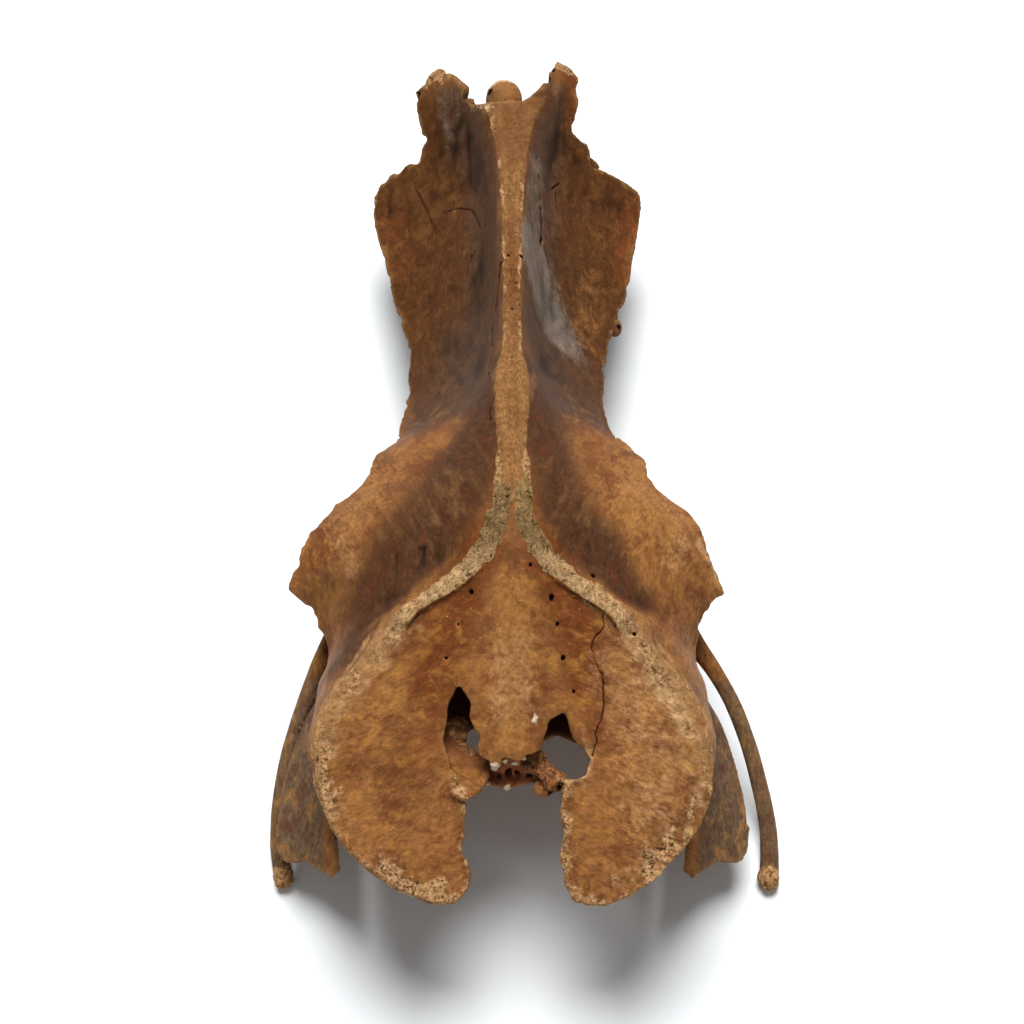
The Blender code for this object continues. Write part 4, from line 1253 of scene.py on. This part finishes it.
def bone_finish():
    """Old bone: stains over brown with painted shade under the plate, the crest and the crumbled
    parts, then pits, hollows, slits and cracks painted dark with shade.
    """
    material = bpy.data.materials.new("old_bone")
    n = Nodes(material)
    marks = ("wing", "plate", "spongy", "arm", "arm_end", "shard", "crest", "bare")
    wing, plate, spongy, arm, arm_end, shard, crest, bare = map(n.mark, marks)
    place = n.add("ShaderNodeTexCoord", "Object", {})
    grain = n.mark("grain", "Vector")
    bent = n.bent(grain, place, 60, 26)
    clouds = n.noise(place, 42, 3, 0.6)
    blotches = n.noise(place, 150, 4, 0.65)
    coarse = n.noise(place, 210, 3, 0.6)
    specks = n.noise(place, 800, 2, 0.6)
    tints = n.noise(n.scaled(bent, 0.15, 0.06, 0.12), 1, 4, 0.62)
    mottles = n.noise(n.scaled(grain, 0.62, 0.26, 0.5), 1, 3, 0.65)
    streaks = n.noise(n.scaled(bent, 0.34, 0.08, 0.2), 1, 5, 0.7)
    veins = n.noise(n.scaled(bent, 0.075, 0.028, 0.06), 1, 4, 0.62)
    slanted = n.noise(n.scaled(bent, 0.85, 0.5, 0.7), 1, 4, 0.78)
    ridges = n.noise(n.scaled(place, 1100, 420, 600), 1, 5, 0.75)
    speckles = n.noise(n.scaled(place, 760, 260, 500), 1, 3, 0.7)
    flecks = n.noise(n.scaled(grain, 1.3, 0.45, 0.8), 1, 2, 0.7)
    fibres = between(wing, mottles, streaks)
    fibres = between(n.mark("middle"), fibres, n.noise(place, 380, 4, 0.7))
    crumbs = between(arm, n.noise(place, 520, 4, 0.75), slanted)

    # Brown ground with its stains, whose borders wander with the fibres and blotches.
    colour = n.mix(clouds.ramp(0.35, 0.65), (126, 80, 45), (152, 100, 58))
    wander = fibres * 0.5 + blotches * 0.7
    for name, tone in STAIN_COLOURS.items():
        share = n.mark(name) + (wander - 0.6)
        share = share.ramp(0.1, 0.85) * n.mark(name).ramp(0, 0.25)
        colour = n.mix(share, colour, tone)
    halo = n.mark("halo") + (coarse - 0.5) * 1.2
    colour = n.mix(halo.ramp(0.35, 1.1, 0, 0.85), colour, (178, 134, 90))

    # Warm and cold tints, weak on the wings, then painted shade on the underside below the plate
    # and the red-brown of the tail's cavity.
    tinted = 1 - wing * 0.7
    stained = n.math("MAXIMUM", n.mark("dark"), n.mark("plum"))
    clear = tinted * n.math("SUBTRACT", 1, stained, clamp=True).ramp(0, 1, 0.1, 1)
    colour = n.mix(tints.ramp(0.47, 0.7, 0, 0.55) * clear, colour, (174, 120, 58))
    colour = n.mix(tints.ramp(0.49, 0.32, 0, 0.55) * tinted, colour, (108, 56, 30))
    # Painted shade on the underside below the plate, then the tail's red-brown cavity.
    for name, share, tone in INSIDE_SHADE_AND_COLOURS:
        colour = n.mix(n.mark(name) * share, colour, tone)

    # Crest: coarse ridges, dark tints, pale crumbs, and a worn middle part with dark specks.
    ridge = n.mix(ridges.ramp(0.36, 0.64), (124, 84, 49), (166, 120, 72))
    ridge = n.mix(tints.ramp(0.42, 0.62, 0.45, 0), ridge, (112, 72, 42))
    ridge = n.mix(crumbs.ramp(0.56, 0.7, 0, 0.6), ridge, (196, 152, 102))
    ridge = n.mix(bare * 0.6, ridge, (112, 68, 38))
    ridge = n.mix(speckles.ramp(0.56, 0.64) * bare.ramp(0, 1, 0.25, 0.85), ridge, (70, 46, 30))
    ridge = n.mix(n.mark("front") * 0.75, ridge, (122, 80, 47))
    colour = n.mix(crest.ramp(0.2, 0.8) * 0.85, colour, ridge)

    # Crumbled bone: light and dark crumbs, greyer near the apex, with pits painted dark with shade
    # and the darker bone inside.
    light = n.mix(arm, (200, 158, 112), n.mix(arm_end, (154, 124, 82), (210, 172, 124)))
    dark = n.mix(arm, (132, 88, 50), n.mix(arm_end, (96, 73, 46), (152, 114, 74)))
    light = n.mix(shard, light, (150, 100, 64))
    dark = n.mix(shard, dark, (96, 58, 36))
    crumb = n.mix(crumbs.ramp(0.36, 0.62), dark, light)
    # Pits: painted shade together with the darker bone inside them.
    pit = (crumbs * 0.6 + coarse * 0.4).ramp(0.475, 0.4) * n.mark("pit_dark_and_shade")
    crumb = n.mix(pit * 0.92, crumb, (44, 29, 18))
    colour = n.mix((spongy + (coarse - 0.5) * 1.3).ramp(0.25, 0.75), colour, crumb)

    # Pale flecks and white chips, then painted shade in hollows, lighter bumps, dark veins, and
    # painted shade in slits, cracks and holes.
    flecks = flecks.ramp(0.62, 0.76) * blotches.ramp(0.4, 0.6) * plate.ramp(0, 1, 0.15, 0.7)
    colour = n.mix(flecks, colour, (206, 160, 104))
    chip = n.mark("chip") + (crumbs - 0.5)
    colour = n.mix(chip.ramp(0.45, 0.7), colour, (226, 206, 178))
    # Painted shade darkens the hollows, less on the plate.
    hollow = n.mark("hollow") * plate.ramp(0, 1, 1, 0.35)
    colour = n.mix(hollow.ramp(0.15, 0.85), colour, (34, 21, 13))
    vein = n.math("ABSOLUTE", veins - 0.5).ramp(0.022, 0) * blotches.ramp(0.4, 0.6)
    colour = n.mix(vein * wing.ramp(0, 1, 0, 0.45), colour, (52, 32, 22))
    # Bumps are made a little lighter.
    colour = n.mix(hollow.ramp(-0.2, -0.7) * 0.35, colour, (168, 124, 76))
    # Slits, cracks and holes painted near black with shade.
    colour = n.mix(n.mark("slit").ramp(0.15, 0.7), colour, (22, 16, 14))

    calm = between(wing, fibres.ramp(0.3, 0.7, 0.78, 1.24), fibres.ramp(0.3, 0.7, 0.82, 1.2))
    lift = calm * blotches.ramp(0.3, 0.7, 0.84, 1.17) * specks.ramp(0.3, 0.7, 0.8, 0.93)
    # Less rough where the grey stain with its painted sheen lies.
    rough = (spongy + specks * 0.3).ramp(0.1, 0.9, 0.5, 0.9) - n.mark("grey_and_sheen") * 0.12
    height = (crumbs - pit) * spongy.ramp(0, 0.6, 0.15, 1.2) + fibres * 0.5 + blotches * 0.4
    skin = {
        "Base Color": n.add("ShaderNodeHueSaturation", 0, {"Value": lift, "Color": colour}),
        "Roughness": rough, "IOR": BONE_IOR,
        "Normal": n.add("ShaderNodeBump", 0, {
            "Strength": 0.55, "Distance": BUMP_HEIGHT, "Height": height}),
    }
    for name, value in skin.items():
        n.put(value, n.shader.inputs[name])
    return material


# Floor: half its width in metres, its colour and roughness.
FLOOR_HALF = 6
FLOOR_COLOUR = (0.9, 0.93, 0.945, 1)
FLOOR_ROUGHNESS = 0.9

# Lights, all suns: the way they shine, their power and their width in degrees.
LIGHTS = {"key_light": ((0.02, -0.42, -1), 4.2, 31), "fill_light": ((-0.1, 0.5, -1), 0.38, 90)}
LIGHT_REACH = 2
WORLD_LIGHT = 0.085

# Camera: how steeply it looks down in degrees, its distance and the height of its target in
# metres, its focal length and the picture's width in pixels, and its sensor in millimetres.
CAMERA_TILT = 66
CAMERA_REACH = 1.6
TARGET_Z = 0.09
FOCUS_PIXELS = 2750
PICTURE_PIXELS = 1024
SENSOR = 36
CLIP_END = 50


def add_floor():
    part = bmesh.new()
    bmesh.ops.create_grid(part, x_segments=1, y_segments=1, size=FLOOR_HALF)
    floor = placed("floor", as_mesh(part, "floor"))
    material = bpy.data.materials.new("white_floor")
    material.use_nodes = True
    shader = material.node_tree.nodes["Principled BSDF"]
    shader.inputs["Base Color"].default_value = FLOOR_COLOUR
    shader.inputs["Roughness"].default_value = FLOOR_ROUGHNESS
    floor.data.materials.append(material)


def aimed(item, facing):
    """Turn a light or camera to face along a vector."""
    item.rotation_euler = facing.to_track_quat("-Z", "Y").to_euler()


def add_lights():
    for name, (facing, power, spread) in LIGHTS.items():
        light = bpy.data.lights.new(name, "SUN")
        light.energy = power
        light.angle = math.radians(spread)
        item = placed(name, light)
        item.location = -Vector(facing) * LIGHT_REACH
        aimed(item, Vector(facing))


def add_camera():
    target = Vector((MIDDLE[0] * MM, MIDDLE[1] * MM, TARGET_Z))
    rise = math.radians(CAMERA_TILT)
    camera = bpy.data.cameras.new("camera")
    camera.sensor_width = SENSOR
    camera.lens = FOCUS_PIXELS * SENSOR / PICTURE_PIXELS
    camera.clip_end = CLIP_END
    item = placed("camera", camera)
    item.location = target + CAMERA_REACH * Vector((0, -math.cos(rise), math.sin(rise)))
    aimed(item, target - item.location)
    bpy.context.scene.camera = item


def add_world():
    world = bpy.data.worlds.new("studio")
    world.use_nodes = True
    back = world.node_tree.nodes["Background"]
    back.inputs["Color"].default_value = (1, 1, 1, 1)
    back.inputs["Strength"].default_value = WORLD_LIGHT
    bpy.context.scene.world = world
    bpy.context.scene.view_settings.view_transform = "Standard"


add_camera()
bone = make_bone()
bone.data.materials.append(bone_finish())
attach(bone, "root")
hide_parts("pelvis")
add_floor()
add_lights()
add_world()
